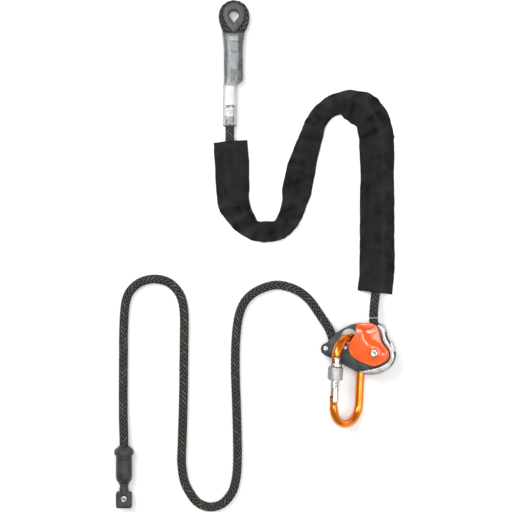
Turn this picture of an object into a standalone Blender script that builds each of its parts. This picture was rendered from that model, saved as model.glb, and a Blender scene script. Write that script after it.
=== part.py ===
"""Rope grab on its adjustable lanyard: cam grab, screw-gate connector, rope, eye and end stopper.

Everything lies on the floor z = 0. The origin is under the middle of the grab and its connector,
+Y runs along the connector towards the grab. Lengths in the tables below are millimetres.
"""
import math

import bmesh
import bpy
from mathutils import Matrix, Vector

MM = 0.001
GAP = 0.3                          # clearance between pieces that touch

# --- rope ---
ROPE_R = 5.4
ROPE_STEP = 31.0                   # the longest piece of the tube between two of its rings
ROPE_TURN = math.radians(17)       # and the most that it bends there

# --- grab: its own frame has the axle as z, the cord channel in the plane z = 0 ---
AXLE_AT = (20.9, 27.9, 26.4)       # world place of the grab's middle
GRAB_TILT = math.radians(14.5)     # right side up
CHANNEL = 6.0                      # half the gap between the plates
PLATE_T = 2.5
PLATE_TOP = CHANNEL + PLATE_T
LEVER_Z = (PLATE_TOP + 0.7, PLATE_TOP + 9.0)
AXLE_R = 3.0
CAM_R = 8.0
HUB_R = 7.0
TIP = (-60.6, 4.3)
POST = (-36.0, 5.9)
EYE_HOLE = (-31.3, 18.5)           # hole for the connector
EYE_HOLE_R = 10.3

BODY = [(23.6, -4.5), (22.6, 1.5), (20.6, 6.5), (17.2, 11.8), (14.4, 16.2), (12.6, 21.8),
        (12.2, 27.5), (9.8, 31.8), (4.4, 34.6), (-4, 36.2), (-16, 36.4), (-29, 34), (-36.3, 30.7),
        (-42.5, 27), (-49.9, 21.6), (-58.7, 12.2), (-64.6, 8.9), (-66.8, 4.3), (-65.6, -0.6),
        (-61.5, -4.2), (-54.9, -6.9), (-38.8, -15.1), (-22, -23.5), (-11, -26.6), (-1.5, -26.4),
        (7, -24.4), (15, -19.6), (20.6, -13)]
PLATE_EDGE = [(1.8, 33.2), (5.4, 27.7), (7.2, 21.7), (8.8, 15.6), (12, 9.6), (15.4, 5), (17.7, 0.7),
              (17.9, -4.8), (14.8, -10.2), (9.2, -14.2), (3, -17.2), (-3.5, -19.3), (-9.5, -20.8),
              (-15.7, -22)]
LEVER = [(-22.6, 31.5), (-20.1, 34.6), (-14.9, 36.5), (-8.8, 37.1), (-2.7, 36.4), (1.8, 33.5),
         (5.3, 28), (6.9, 21.9), (8.4, 15.9), (11.4, 9.9), (15.1, 5.4), (17.4, 1), (17.5, -4.1),
         (14.5, -8.6), (9.5, -12.2), (3.4, -14.9), (-0.8, -15.7), (-5.8, -14.6), (-10.9, -12.7),
         (-17, -10.4), (-23.2, -6.9), (-28.3, -2.5), (-30.8, 3.1), (-31.2, 8.2), (-29.3, 13.2),
         (-26.2, 18.4), (-23.3, 22.4), (-22.4, 26.6)]
BRAKE_SHOE = [(-26.5, -14.8), (-17.5, -17.9), (-8, -19.7), (-3.2, -20.2), (-3.2, -23.2),
              (-11, -23.3), (-21, -20.2), (-27, -17.2)]
LOWER_WALL = [(-3, -26.3), (-11, -26.5), (-22, -23.4), (-38.8, -15), (-50, -9.4)]
TOP_WALL = [(9.4, 25.6), (12.2, 25.6), (12.1, 28.4), (9.9, 31.5), (7.3, 33.2), (7.6, 30.6)]

# --- connector: its own frame has y along it and x from the spine to the gate ---
LINK_MID = (-13.2, -7.0, 21.9)     # world place of the oval's middle
LINK_SLOPE = math.radians(44.9)    # gate side up
LINK_LEAN = math.radians(-2.8)
LINK_HALF_W = 23.5
LINK_HALF_L = 52.8
BAR_R = 5.2
GATE_R = 5.3
PIVOT_Y = -22.5
GATE_TOP = 29.4
BAR_TOP = 30.0
BAR_END = -28.6
NOSE_Y = 22.9
NOSE_T = 4.2
TANG_T = 4.8
THREAD = (-7.5, 1.2)
SLEEVE_Y = (2.0, 17.6)
COLLAR_Y = (17.8, 22.0)

# --- routes of the rope (world) ---
TAIL = [(-32.9, 49.5, 12.5), (-35.2, 55.4, 11.4), (-38.6, 61.4, 8.9), (-43.2, 68.2, 6.5),
        (-50.5, 79.3, 5.5), (-59.1, 91, 5.4), (-70.8, 100.9, 5.4), (-84.4, 107.1, 5.4),
        (-99.3, 109.6, 5.4), (-114.1, 106.5, 5.4), (-128.9, 99.1, 5.4), (-140, 87.3, 5.4),
        (-146.8, 68.8, 5.4), (-150.2, 39.1, 5.4), (-150.7, 2, 5.4), (-149.4, -37.5, 5.4),
        (-148.3, -77, 5.4), (-148.1, -109, 5.4), (-149.9, -130, 5.4), (-154.9, -146.8, 5.4),
        (-166.6, -160.4, 5.4), (-182, -164.7, 5.4), (-196.9, -159.2, 5.4), (-207.4, -146.2, 5.4),
        (-214.2, -131, 5.4), (-217.1, -109, 5.4), (-216.6, -88, 5.4), (-215.6, -57, 5.4),
        (-214.7, -22.6, 5.4), (-214.4, 9.5, 5.4), (-214, 41.6, 5.4), (-213.9, 72.5, 5.4),
        (-216.6, 91, 5.4), (-222.8, 103.4, 5.4), (-233.9, 113.3, 5.4), (-250, 117, 5.4),
        (-267.3, 113.3, 5.4), (-279.6, 103.4, 5.4), (-285.2, 92, 5.4), (-287.7, 76, 5.4),
        (-288.8, 51.5, 5.4), (-289, 21.8, 5.4), (-289.2, -7.8, 5.4), (-289.2, -32, 5.8),
        (-288.7, -56, 8.4), (-287.9, -74, 11.1), (-287.6, -86, 12), (-287.6, -104, 12),
        (-287.6, -126.4, 12)]
IN_GRAB = [(-55.2, 20.6, 0), (-51.2, 10.2, 0), (-45.6, 2.3, 0), (-37.5, -3.7, 0), (-28, -8, 0),
           (-18, -11.7, 0), (-8, -13.9, 0), (0, -14.3, 0), (8.6, -11.5, 0), (13.4, -4.6, 0),
           (14, 3.2, 0), (10.9, 10.8, 0), (6.2, 18.6, 0), (1.8, 27.3, 0), (-1.3, 33.5, 0),
           (-2.7, 37, 0), (-2.8, 41, 0)]
LINE = [(18.2, 70.2, 25.6), (18.3, 76, 24.9), (19.6, 86, 19.4), (21.2, 96, 15), (21.9, 100.4, 13.4),
        (24.2, 120, 9.2), (25, 140, 7.4), (25.4, 171, 7), (25.4, 208, 7), (25.4, 245, 7),
        (24.8, 276, 7), (21.7, 299.7, 7), (15.5, 315.7, 7), (4.4, 327.4, 7), (-9.2, 333.6, 7),
        (-24, 334.2, 7), (-38.8, 325.6, 7), (-49.9, 311.4, 7), (-57.3, 293.5, 7),
        (-64.1, 273.8, 7), (-69.7, 251.5, 7), (-74, 227, 7), (-78.3, 207, 7), (-84.5, 189.8, 7),
        (-96.8, 178.1, 7), (-112.9, 175, 7), (-128.9, 178.1, 7), (-141.2, 191.1, 7),
        (-149.9, 210.8, 7), (-153, 236.7, 7), (-155.4, 264, 7), (-157.4, 287.3, 7),
        (-157.5, 300, 7.3), (-157.5, 330, 7.4), (-157.5, 354, 7.5), (-158.4, 368, 7.8),
        (-158.5, 390, 7.8), (-158.5, 409, 7.8), (-159.6, 419, 7.8), (-163.9, 431, 7.8),
        (-165.8, 442, 7.8), (-161.9, 451.5, 7.8), (-152.3, 455.5, 7.8), (-142.7, 451.5, 7.8),
        (-138.8, 442, 7.8), (-140.4, 431, 7.8), (-146.3, 419, 7.8), (-147.5, 409, 7.8),
        (-147.5, 390, 7.8), (-147.5, 363, 7.8)]
FABRIC_FIRST = 4                   # the protective sleeve covers these points of LINE
FABRIC_LAST = 31
FABRIC_WIDTH = [42.5, 42.5, 42.5, 42.5, 42.5, 42.5, 42, 41, 40, 40, 38, 33, 27, 26, 27, 31, 34,
                36, 35, 32, 28, 25, 25, 28, 33, 38, 41, 42.5]
FABRIC_HALF_H = 6.9
FABRIC_BORE = 5.95

# --- sewn eye, cover and labels ---
EYE_AT = (-152.3, 442.0, 7.8)
THIMBLE_RING = [(0, 14.6), (8.6, 11.3), (12.6, 5), (13, -1), (10.8, -8.6), (6.6, -15.6),
                (2.2, -21), (-2.2, -21), (-6.6, -15.6), (-10.8, -8.6), (-13, -1), (-12.6, 5),
                (-8.6, 11.3)]
THIMBLE_CORE = [(0, 7.6), (4.4, 6.2), (7.0, 2.6), (7.3, -1.4), (6.3, -7), (4.3, -12.4), (1.5, -17.6),
                (-1.5, -17.6), (-4.3, -12.4), (-6.3, -7), (-7.3, -1.4), (-7.0, 2.6), (-4.4, 6.2)]
THIMBLE_HOLE = [(0, 6.2), (4.4, 4.4), (6.1, 0.3), (5.5, -4.4), (3.2, -8.6), (0, -9.6), (-3.2, -8.6),
                (-5.5, -4.4), (-6.1, 0.3), (-4.4, 4.4)]
FLANGE_T = 1.9

# --- stopper on the tail end ---
STOPPER_AXIS = (-287.6, 12.0)      # world x and z of the turned pieces
TAB_AT = -154.5
TAB_SIZE = (19.5, 20.6, 7.0)
TAB_HOLE_Y = -153.0


def clear_scene():
    for obj in list(bpy.data.objects):
        bpy.data.objects.remove(obj, do_unlink=True)


def material(name, colour, metallic, roughness):
    """Principled material from an sRGB hex colour."""
    channels = [int(colour[i:i + 2], 16) / 255 for i in (0, 2, 4)]
    linear = [((c + 0.055) / 1.055) ** 2.4 if c > 0.04045 else c / 12.92 for c in channels]
    mat = bpy.data.materials.new(name)
    mat.use_nodes = True
    shader = mat.node_tree.nodes["Principled BSDF"]
    shader.inputs["Base Color"].default_value = (*linear, 1)
    shader.inputs["Metallic"].default_value = metallic
    shader.inputs["Roughness"].default_value = roughness
    mat.diffuse_color = (*linear, 1)
    return mat


def empty(name, matrix):
    obj = bpy.data.objects.new(name, None)
    bpy.context.collection.objects.link(obj)
    obj.matrix_world = matrix
    return obj


def add(name, bm, mat, parent=None, place=(0, 0, 0)):
    """An object from a bmesh in millimetres, under parent, moved by place."""
    bmesh.ops.transform(bm, matrix=Matrix.Diagonal((MM, MM, MM, 1)) @ Matrix.Translation(place),
                        verts=bm.verts)
    bmesh.ops.recalc_face_normals(bm, faces=bm.faces)
    mesh = bpy.data.meshes.new(name)
    bm.to_mesh(mesh)
    bm.free()
    mesh.materials.append(mat)
    mesh.shade_smooth()
    mesh.set_sharp_from_angle(angle=math.radians(35))
    obj = bpy.data.objects.new(name, mesh)
    bpy.context.collection.objects.link(obj)
    if parent:
        obj.parent = parent
    return obj


def combine(obj, tool, operation):
    """Boolean modifier on obj with a hidden tool object of the same parent."""
    tool.hide_render = True
    tool.display_type = 'WIRE'
    tool.parent = obj.parent
    cut = obj.modifiers.new(operation.lower(), 'BOOLEAN')
    cut.operation = operation
    cut.solver = 'EXACT'
    cut.object = tool


def cut(obj, bm):
    combine(obj, add(obj.name + "_cutter", bm, obj.data.materials[0]), 'DIFFERENCE')


def join(obj, bm):
    combine(obj, add(obj.name + "_addition", bm, obj.data.materials[0]), 'UNION')


def smooth_path(points, step, closed=False):
    """Points every step or so along the smooth curve through points."""
    pts = [Vector((*p, 0)) if len(p) == 2 else Vector(p) for p in points]
    count = len(pts)
    out = []
    for i in range(count if closed else count - 1):
        if closed:
            a, b, c, d = (pts[(i + k) % count] for k in (-1, 0, 1, 2))
        else:
            b, c = pts[i], pts[i + 1]
            a = pts[i - 1] if i else b * 2 - c
            d = pts[i + 2] if i + 2 < count else c * 2 - b
        pieces = max(1, round((c - b).length / step))
        for k in range(pieces):
            t = k / pieces
            out.append(0.5 * (2 * b + (c - a) * t + (2 * a - 5 * b + 4 * c - d) * t * t
                              + (3 * b - 3 * c + d - a) * t ** 3))
    if not closed:
        out.append(pts[-1])
    return out


def rope_path(points):
    """The smooth curve through points, read at each ROPE_STEP or each ROPE_TURN of its bends."""
    fine = smooth_path(points, 1.5)
    out = [fine[0]]
    run, turn = 0.0, 0.0
    for a, b, c in zip(fine, fine[1:], fine[2:]):
        run += (b - a).length
        turn += (b - a).angle(c - b)
        left = (fine[-1] - b).length
        if (run >= ROPE_STEP or (turn >= ROPE_TURN and run > 4)) and left > 5:
            out.append(b)
            run, turn = 0.0, 0.0
    out.append(fine[-1])
    return out


def offset(points, distance):
    """An open line moved sideways, to its left for a positive distance."""
    out = []
    for i, p in enumerate(points):
        before = Vector(points[max(i - 1, 0)])
        after = Vector(points[min(i + 1, len(points) - 1)])
        along = (after - before).normalized()
        out.append((p[0] - along.y * distance, p[1] + along.x * distance))
    return out


def prism(outline, z0, z1):
    """A straight prism on a closed outline."""
    bm = bmesh.new()
    rim = [bm.verts.new((p[0], p[1], z0)) for p in outline]
    face = bm.faces.new(rim)
    lifted = bmesh.ops.extrude_face_region(bm, geom=[face])
    top = [v for v in lifted["geom"] if isinstance(v, bmesh.types.BMVert)]
    bmesh.ops.translate(bm, verts=top, vec=(0, 0, z1 - z0))
    return bm


def drum(radius, z0, z1, centre=(0, 0), sides=32):
    """A round bar along z."""
    bm = bmesh.new()
    bmesh.ops.create_cone(bm, cap_ends=True, segments=sides, radius1=radius, radius2=radius,
                          depth=z1 - z0)
    bmesh.ops.translate(bm, verts=bm.verts, vec=(*centre, (z0 + z1) / 2))
    return bm


def turned(profile, sides=32):
    """A profile of (radius, z) points turned about z; it may start and end on the axis."""
    bm = bmesh.new()
    verts = [bm.verts.new((r, 0, z)) for r, z in profile]
    edges = [bm.edges.new(pair) for pair in zip(verts, verts[1:])]
    if profile[0][0] > 0 or profile[-1][0] > 0:
        edges.append(bm.edges.new((verts[-1], verts[0])))
    bmesh.ops.spin(bm, geom=verts + edges, cent=(0, 0, 0), axis=(0, 0, 1),
                   angle=2 * math.pi, steps=sides, use_merge=True)
    bmesh.ops.remove_doubles(bm, verts=bm.verts, dist=0.001)
    return bm


def along_y(bm, x, z):
    """Turn a bmesh made about z so that its z runs along y, and move it to x and z."""
    turn = Matrix.Translation((x, 0, z)) @ Matrix.Rotation(math.radians(-90), 4, 'X')
    bmesh.ops.transform(bm, matrix=turn, verts=bm.verts)
    return bm


def box(x, y, z):
    """A block between pairs of x, y and z."""
    bm = prism([(x[0], y[0]), (x[1], y[0]), (x[1], y[1]), (x[0], y[1])], z[0], z[1])
    return bm


def rope(name, points, mat, parent=None):
    """A rope as a curve object with a round section and filled ends."""
    curve = bpy.data.curves.new(name, 'CURVE')
    curve.dimensions = '3D'
    curve.bevel_depth = ROPE_R * MM
    curve.bevel_resolution = 3
    curve.use_fill_caps = True
    spline = curve.splines.new('POLY')
    spline.points.add(len(points) - 1)
    for slot, point in zip(spline.points, points):
        slot.co = (*(point * MM), 1)
    curve.materials.append(mat)
    obj = bpy.data.objects.new(name, curve)
    bpy.context.collection.objects.link(obj)
    obj.parent = parent
    return obj


def tube_mesh(points, radius, resolution=3):
    """A bmesh in millimetres of a round bar along points."""
    curve = bpy.data.curves.new("bar", 'CURVE')
    curve.dimensions = '3D'
    curve.bevel_depth = radius
    curve.bevel_resolution = resolution
    curve.use_fill_caps = True
    spline = curve.splines.new('POLY')
    spline.points.add(len(points) - 1)
    for slot, point in zip(spline.points, points):
        slot.co = (*point, 1)
    guide = bpy.data.objects.new("bar", curve)
    bpy.context.collection.objects.link(guide)
    mesh = bpy.data.meshes.new_from_object(guide)
    bpy.data.objects.remove(guide)
    bm = bmesh.new()
    bm.from_mesh(mesh)
    bmesh.ops.remove_doubles(bm, verts=bm.verts, dist=0.001)
    return bm


def coil(radius, wire, z0, z1, turns, per_turn=12):
    """A wire spring about z."""
    steps = round(turns * per_turn)
    points = []
    for i in range(steps + 1):
        angle = 2 * math.pi * turns * i / steps
        points.append((radius * math.cos(angle), radius * math.sin(angle),
                       z0 + (z1 - z0) * i / steps))
    return tube_mesh(points, wire, 1)


def oval(half_w, half_h, sides, power=2.0):
    """A closed oval section, (across, up) points; a larger power makes it boxier."""
    out = []
    for i in range(sides):
        a = 2 * math.pi * i / sides
        c, s = math.cos(a), math.sin(a)
        out.append((math.copysign(half_w * abs(c) ** (2 / power), c),
                    math.copysign(half_h * abs(s) ** (2 / power), s)))
    return out


def sleeve_mesh(path, outer, inner):
    """A tube with separate outer and inner sections at each point of a path."""
    bm = bmesh.new()
    walls = []
    for sections in (outer, inner):
        rings = []
        for i, point in enumerate(path):
            along = path[min(i + 1, len(path) - 1)] - path[max(i - 1, 0)]
            side = along.cross(Vector((0, 0, 1))).normalized()
            up = side.cross(along).normalized()
            rings.append([bm.verts.new(point + side * a + up * b) for a, b in sections[i]])
        walls.append(rings)
    count = len(walls[0][0])
    for rings in walls:
        for near, far in zip(rings, rings[1:]):
            for k in range(count):
                n = (k + 1) % count
                bm.faces.new((near[k], near[n], far[n], far[k]))
    for end in (0, -1):
        for k in range(count):
            n = (k + 1) % count
            bm.faces.new((walls[0][end][k], walls[0][end][n], walls[1][end][n], walls[1][end][k]))
    return bm


# --- the grab ---

def make_frame(parent, silver):
    """Rear plate, edge walls with the rope windows between them, and the front rim."""
    frame = add("frame", prism(smooth_path(BODY, 5, closed=True), -PLATE_TOP, -CHANNEL), silver,
                parent)
    edge = smooth_path(PLATE_EDGE, 6)
    inner = offset(edge, GAP + 0.2)
    outer = smooth_path(BODY[23:] + BODY[:9], 6)
    join(frame, prism(list(outer) + inner, CHANNEL, PLATE_TOP))
    lower = smooth_path(LOWER_WALL, 7)
    join(frame, prism(list(lower) + offset(lower, -2.6)[::-1], -CHANNEL - 1, CHANNEL - GAP))
    foot = LOWER_WALL[:2]
    join(frame, prism(foot + offset(foot, -2.6)[::-1], 0, CHANNEL + 1))
    join(frame, prism(TOP_WALL, -CHANNEL - 1, CHANNEL + 1))
    bulge = []
    for radius, angles in ((20.4, range(4, 33, 4)), (23.2, range(32, 3, -4))):
        for angle in angles:
            a = math.radians(angle)
            bulge.append((radius * math.cos(a), radius * math.sin(a)))
    join(frame, prism(bulge, -CHANNEL - 1, CHANNEL + 1))
    slot = [(-25.0, 13.6, 10.5, -120), (-34.5, 19.5, 9.7, 60)]
    outline = []
    for x, y, radius, start in slot:
        for i in range(13):
            a = math.radians(start + 15 * i)
            outline.append((x + radius * math.cos(a), y + radius * math.sin(a)))
    cut(frame, prism(outline, -PLATE_TOP - 1, -CHANNEL + 1))
    cut(frame, drum(AXLE_R + 0.35, -PLATE_TOP - 1, -CHANNEL + 1))
    cut(frame, drum(2.3, -PLATE_TOP - 1, -CHANNEL + 1, TIP, 20))
    cut(frame, drum(1.7, -PLATE_TOP - 1, -CHANNEL + 1, POST, 16))
    return frame


def make_front_plate(parent, dark):
    outline = smooth_path(BODY[9:23], 5) + list(reversed(smooth_path(PLATE_EDGE, 6)))
    plate = add("front_plate", prism(outline, CHANNEL, PLATE_TOP), dark, parent)
    cut(plate, drum(EYE_HOLE_R, CHANNEL - 1, PLATE_TOP + 1, EYE_HOLE, 40))
    cut(plate, drum(HUB_R + 0.4, CHANNEL - 1, PLATE_TOP + 1))
    cut(plate, drum(2.3, CHANNEL - 1, PLATE_TOP + 1, TIP, 20))
    cut(plate, drum(1.7, CHANNEL - 1, PLATE_TOP + 1, POST, 16))


def drive_pin_places():
    angles = (math.radians(75), math.radians(255))
    return [(5.2 * math.cos(a), 5.2 * math.sin(a)) for a in angles]


def make_lever(parent, orange, steel):
    """Lever, cam with its hub, and the pins that key them together."""
    bottom, top = LEVER_Z
    lever = add("lever", prism(smooth_path(LEVER, 4, closed=True), bottom, top), orange, parent)
    bevel = lever.modifiers.new("edges", 'BEVEL')
    bevel.width = 1.4 * MM
    bevel.segments = 2
    bevel.limit_method = 'ANGLE'
    bevel.angle_limit = math.radians(50)
    cut(lever, drum(AXLE_R + 0.35, bottom - 1, top + 1))
    cut(lever, drum(5.5, top - 2.6, top + 1))
    for x, y in drive_pin_places():
        cut(lever, drum(1.5, bottom - 1, bottom + 4.6, (x, y), 16))
    round_part = []
    for i in range(22):
        a = math.radians(-125 + i * 280 / 21)
        round_part.append((CAM_R * math.cos(a), CAM_R * math.sin(a)))
    nose = [(-13, 1.4), (-18, -0.8), (-18.6, -2.6), (-15.4, -4.6), (-11.4, -5.9)]
    cam = add("cam", prism(round_part + nose, -CHANNEL + 0.5, CHANNEL - 0.5), steel, parent)
    join(cam, drum(HUB_R, CHANNEL - 1, PLATE_TOP + 0.4))
    cut(cam, drum(AXLE_R + 0.35, -CHANNEL - 1, PLATE_TOP + 1))
    cut(cam, drum(6.6, -CHANNEL - 1, -0.8))
    for i, (x, y) in enumerate(drive_pin_places()):
        cut(cam, drum(1.5, 4.0, PLATE_TOP + 1, (x, y), 16))
        add(f"drive_pin_{i + 1}", drum(1.2, 4.3, bottom + 4.3, (x, y), 16), steel, parent)


def make_axle(parent, steel):
    """Shouldered axle screw with a six-lobe recess, its nut and the lever's return spring."""
    top = LEVER_Z[1]
    axle = add("axle", turned([(0, -11.2), (AXLE_R, -11.2), (AXLE_R, top - 2.3), (4.6, top - 2.3),
                               (4.6, top - 0.4), (3.9, top + 0.1), (0, top + 0.1)]), steel, parent)
    star = []
    for i in range(24):
        a = 2 * math.pi * i / 24
        r = 2.1 + 0.35 * math.cos(6 * a)
        star.append((r * math.cos(a), r * math.sin(a)))
    cut(axle, prism(star, top - 1.4, top + 1))
    nut = add("axle_nut", drum(5.0, -PLATE_TOP - 3, -PLATE_TOP - GAP, sides=6), steel, parent)
    cut(nut, drum(AXLE_R + GAP, -PLATE_TOP - 4, -PLATE_TOP + 1))
    add("return_spring", coil(4.8, 0.45, -5.0, -1.6, 3), steel, parent)


def make_spacers(parent, steel):
    """What holds the plates apart: tip screw with spacer and nut, and the riveted guide post."""
    screw = add("tip_screw", turned([(0, -PLATE_TOP - 2.0), (2, -PLATE_TOP - 2.0),
                                     (2, PLATE_TOP + GAP), (3.4, PLATE_TOP + GAP),
                                     (3.4, PLATE_TOP + 1.5), (2.7, PLATE_TOP + 2.1),
                                     (0, PLATE_TOP + 2.1)], 20), steel, parent, (*TIP, 0))
    cut(screw, drum(1.4, PLATE_TOP + 1.0, PLATE_TOP + 3, TIP, 6))
    spacer = add("tip_spacer", drum(3.6, -CHANNEL + GAP, CHANNEL - GAP, TIP, 24), steel, parent)
    cut(spacer, drum(2.3, -CHANNEL, CHANNEL, TIP, 20))
    nut = add("tip_nut", drum(3.5, -PLATE_TOP - 2.0, -PLATE_TOP - GAP, TIP, 6), steel, parent)
    cut(nut, drum(2.3, -PLATE_TOP - 3, -PLATE_TOP + 1, TIP, 20))
    end = PLATE_TOP + 1.1
    add("guide_post", turned([(0, -end), (2.4, -end), (2.4, -PLATE_TOP - GAP),
                              (1.4, -PLATE_TOP - GAP), (1.4, -CHANNEL + GAP),
                              (2.1, -CHANNEL + GAP), (2.1, CHANNEL - GAP), (1.4, CHANNEL - GAP),
                              (1.4, PLATE_TOP + GAP), (2.4, PLATE_TOP + GAP), (2.4, end - 0.3),
                              (2.0, end), (0, end)], 16), steel, parent, (*POST, 0))
    add("brake_shoe", prism(BRAKE_SHOE, -CHANNEL + GAP, CHANNEL - GAP), steel, parent)


# --- the connector ---

def make_link_body(parent, orange, steel):
    """Oval bar with the nose that the gate closes on and the tang that it turns on."""
    straight = LINK_HALF_L - LINK_HALF_W
    path = [(LINK_HALF_W, BAR_TOP, 0)]
    for i in range(1, 17):
        a = math.pi * i / 16
        path.append((LINK_HALF_W * math.cos(a), straight + LINK_HALF_W * math.sin(a), 0))
    for i in range(17):
        a = math.pi + math.pi * i / 16
        path.append((LINK_HALF_W * math.cos(a), -straight + LINK_HALF_W * math.sin(a), 0))
    path[-1] = (LINK_HALF_W, BAR_END, 0)
    body = add("link_body", tube_mesh(path, BAR_R, 4), orange, parent)
    nose = [(21.9, BAR_TOP + 2), (21.9, NOSE_Y + 0.9), (22.7, NOSE_Y), (26.7, NOSE_Y),
            (27.6, NOSE_Y + 1), (27.6, BAR_TOP + 2)]
    join(body, prism(nose, -NOSE_T / 2, NOSE_T / 2))
    tang = [(19.2, BAR_END - 2), (27.8, BAR_END - 2)]
    for i in range(9):
        a = math.radians(-4 + 23.5 * i)
        tang.append((LINK_HALF_W + 4.6 * math.cos(a), PIVOT_Y + 4.6 * math.sin(a)))
    join(body, prism(tang, -TANG_T / 2, TANG_T / 2))
    cut(body, drum(1.8, -6, 6, (LINK_HALF_W, PIVOT_Y), 16))
    add("gate_rivet", drum(1.5, -4.9, 4.9, (LINK_HALF_W, PIVOT_Y), 16), steel, parent)


def make_gate(parent, silver, steel):
    """Round gate with its thread, forked at both ends, with the closing spring and plunger."""
    profile = [(0, -26), (GATE_R, -26), (GATE_R, THREAD[0])]
    ridges = 5
    pitch = (THREAD[1] - THREAD[0]) / ridges
    for i in range(ridges):
        y = THREAD[0] + i * pitch
        profile += [(GATE_R + 0.3, y + 0.3 * pitch), (GATE_R + 0.3, y + 0.6 * pitch),
                    (GATE_R - 0.1, y + 0.9 * pitch)]
    profile += [(GATE_R, THREAD[1] + 0.2), (GATE_R, GATE_TOP - 0.8), (GATE_R - 0.8, GATE_TOP),
                (0, GATE_TOP)]
    gate = add("gate", along_y(turned(profile, 24), LINK_HALF_W, 0), silver, parent)
    cut(gate, box((20.2, 31), (NOSE_Y - 0.5, GATE_TOP + 2), (-NOSE_T / 2 - 0.4, NOSE_T / 2 + 0.4)))
    cut(gate, box((10, 40), (-30, -17.2), (-TANG_T / 2 - 0.4, TANG_T / 2 + 0.4)))
    cut(gate, along_y(drum(2.9, -18, -1.5, sides=20), LINK_HALF_W, 0))
    cut(gate, drum(1.8, -7, 7, (LINK_HALF_W, PIVOT_Y), 16))
    add("gate_spring", along_y(coil(2.1, 0.35, -13.2, -2.2, 5, 10), LINK_HALF_W, 0), steel, parent)
    plunger = turned([(0, -17.5), (1.5, -17.5), (2.5, -16.6), (2.5, -14.9), (1.2, -14.9),
                      (1.2, -9), (0, -9)], 16)
    add("gate_plunger", along_y(plunger, LINK_HALF_W, 0), steel, parent)
    ring = turned([(6.0, SLEEVE_Y[0] + 0.6), (7.0, SLEEVE_Y[0] + 0.6), (7.0, COLLAR_Y[0]),
                   (7.4, COLLAR_Y[0]), (7.4, COLLAR_Y[1] - 0.6), (6.9, COLLAR_Y[1]),
                   (6.0, COLLAR_Y[1])])
    add("sleeve_ring", along_y(ring, LINK_HALF_W, 0), silver, parent)
    grip = turned([(7.3, SLEEVE_Y[0]), (8.6, SLEEVE_Y[0]), (9.3, SLEEVE_Y[0] + 0.8),
                   (9.3, SLEEVE_Y[1] - 0.8), (8.6, SLEEVE_Y[1]), (7.3, SLEEVE_Y[1])], 36)
    add("lock_sleeve", along_y(grip, LINK_HALF_W, 0), silver, parent)


# --- rope, eye and stopper ---

def make_fabric_sleeve(mat):
    """Flat fabric tube round the line side, as wide as it lies at each place."""
    stations = [Vector(p) for p in LINE[FABRIC_FIRST:FABRIC_LAST + 1]]
    line = rope_path(LINE)
    first, last = (min(range(len(line)), key=lambda i: (line[i] - end).length)
                   for end in (stations[0], stations[-1]))
    path = line[first:last + 1]
    outer = []
    for point in path:
        near = sorted(range(len(stations)), key=lambda j: (stations[j] - point).length)[:2]
        far = [(stations[j] - point).length for j in near]
        half = (FABRIC_WIDTH[near[0]] * far[1] + FABRIC_WIDTH[near[1]] * far[0]) / sum(far) / 2
        outer.append(oval(half, FABRIC_HALF_H, 16))
    inner = [oval(FABRIC_BORE, FABRIC_BORE, 16)] * len(path)
    add("fabric_sleeve", sleeve_mesh(path, outer, inner), mat)


def make_eye(grey, clear, paper, print_grey):
    """Thimble in the sewn eye, the clear cover over the splice, and the labels under it."""
    x, y, z = EYE_AT
    low, high = -z + 0.2, ROPE_R + GAP + FLANGE_T + 0.1
    thimble = add("thimble", prism(smooth_path(THIMBLE_CORE, 4, True), low + 0.2, high - 0.2),
                  grey, place=EYE_AT)
    for z0, z1 in ((low, -ROPE_R - GAP), (ROPE_R + GAP, high)):
        join(thimble, placed(prism(smooth_path(THIMBLE_RING, 5, True), z0, z1), EYE_AT))
    cut(thimble, placed(prism(smooth_path(THIMBLE_HOLE, 4, True), low - 1, high + 1), EYE_AT))
    wide, narrow = -153.0, -157.5
    stations = [(419.8, wide, 7.8, 14.6, 7.3), (411, wide, 7.8, 13.2, 7.2), (402, wide, 7.8, 12.2, 7.2),
                (380, wide, 7.8, 12.2, 7.2), (362, wide, 7.8, 12.2, 7.2),
                (356, narrow + 0.6, 7.6, 9, 7.2), (350, narrow, 7.5, 8.6, 7.3),
                (328, narrow, 7.4, 8.6, 7.3), (305.7, narrow, 7.3, 8.3, 7.1)]
    path = [Vector((sx, sy, sz)) for sy, sx, sz, _, _ in stations]
    outer = [oval(w, h, 24, 3.0) for _, _, _, w, h in stations]
    inner = [oval(w - 0.6, h - 0.6, 24, 3.0) for _, _, _, w, h in stations]
    cover = sleeve_mesh(path, outer, inner)
    add("shrink_cover", cover, clear)
    add("grey_label", box((wide - 6, wide + 6), (374, 416), (7.8 + ROPE_R + GAP, 7.8 + 5.95)), paper)
    for name, y0, y1, half, mat in (("white_label", 355, 330.5, 7.2, paper),
                                    ("printed_band", 328.5, 316.5, 6.4, print_grey)):
        line = [Vector((narrow, y0, 7.45)), Vector((narrow, (y0 + y1) / 2, 7.42)),
                Vector((narrow, y1, 7.38))]
        sections = [oval(half, 6.3, 20)] * 3
        bores = [oval(5.95, 5.85, 20)] * 3
        add(name, sleeve_mesh(line, sections, bores), mat)


def placed(bm, place):
    bmesh.ops.translate(bm, verts=bm.verts, vec=place)
    return bm


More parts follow.
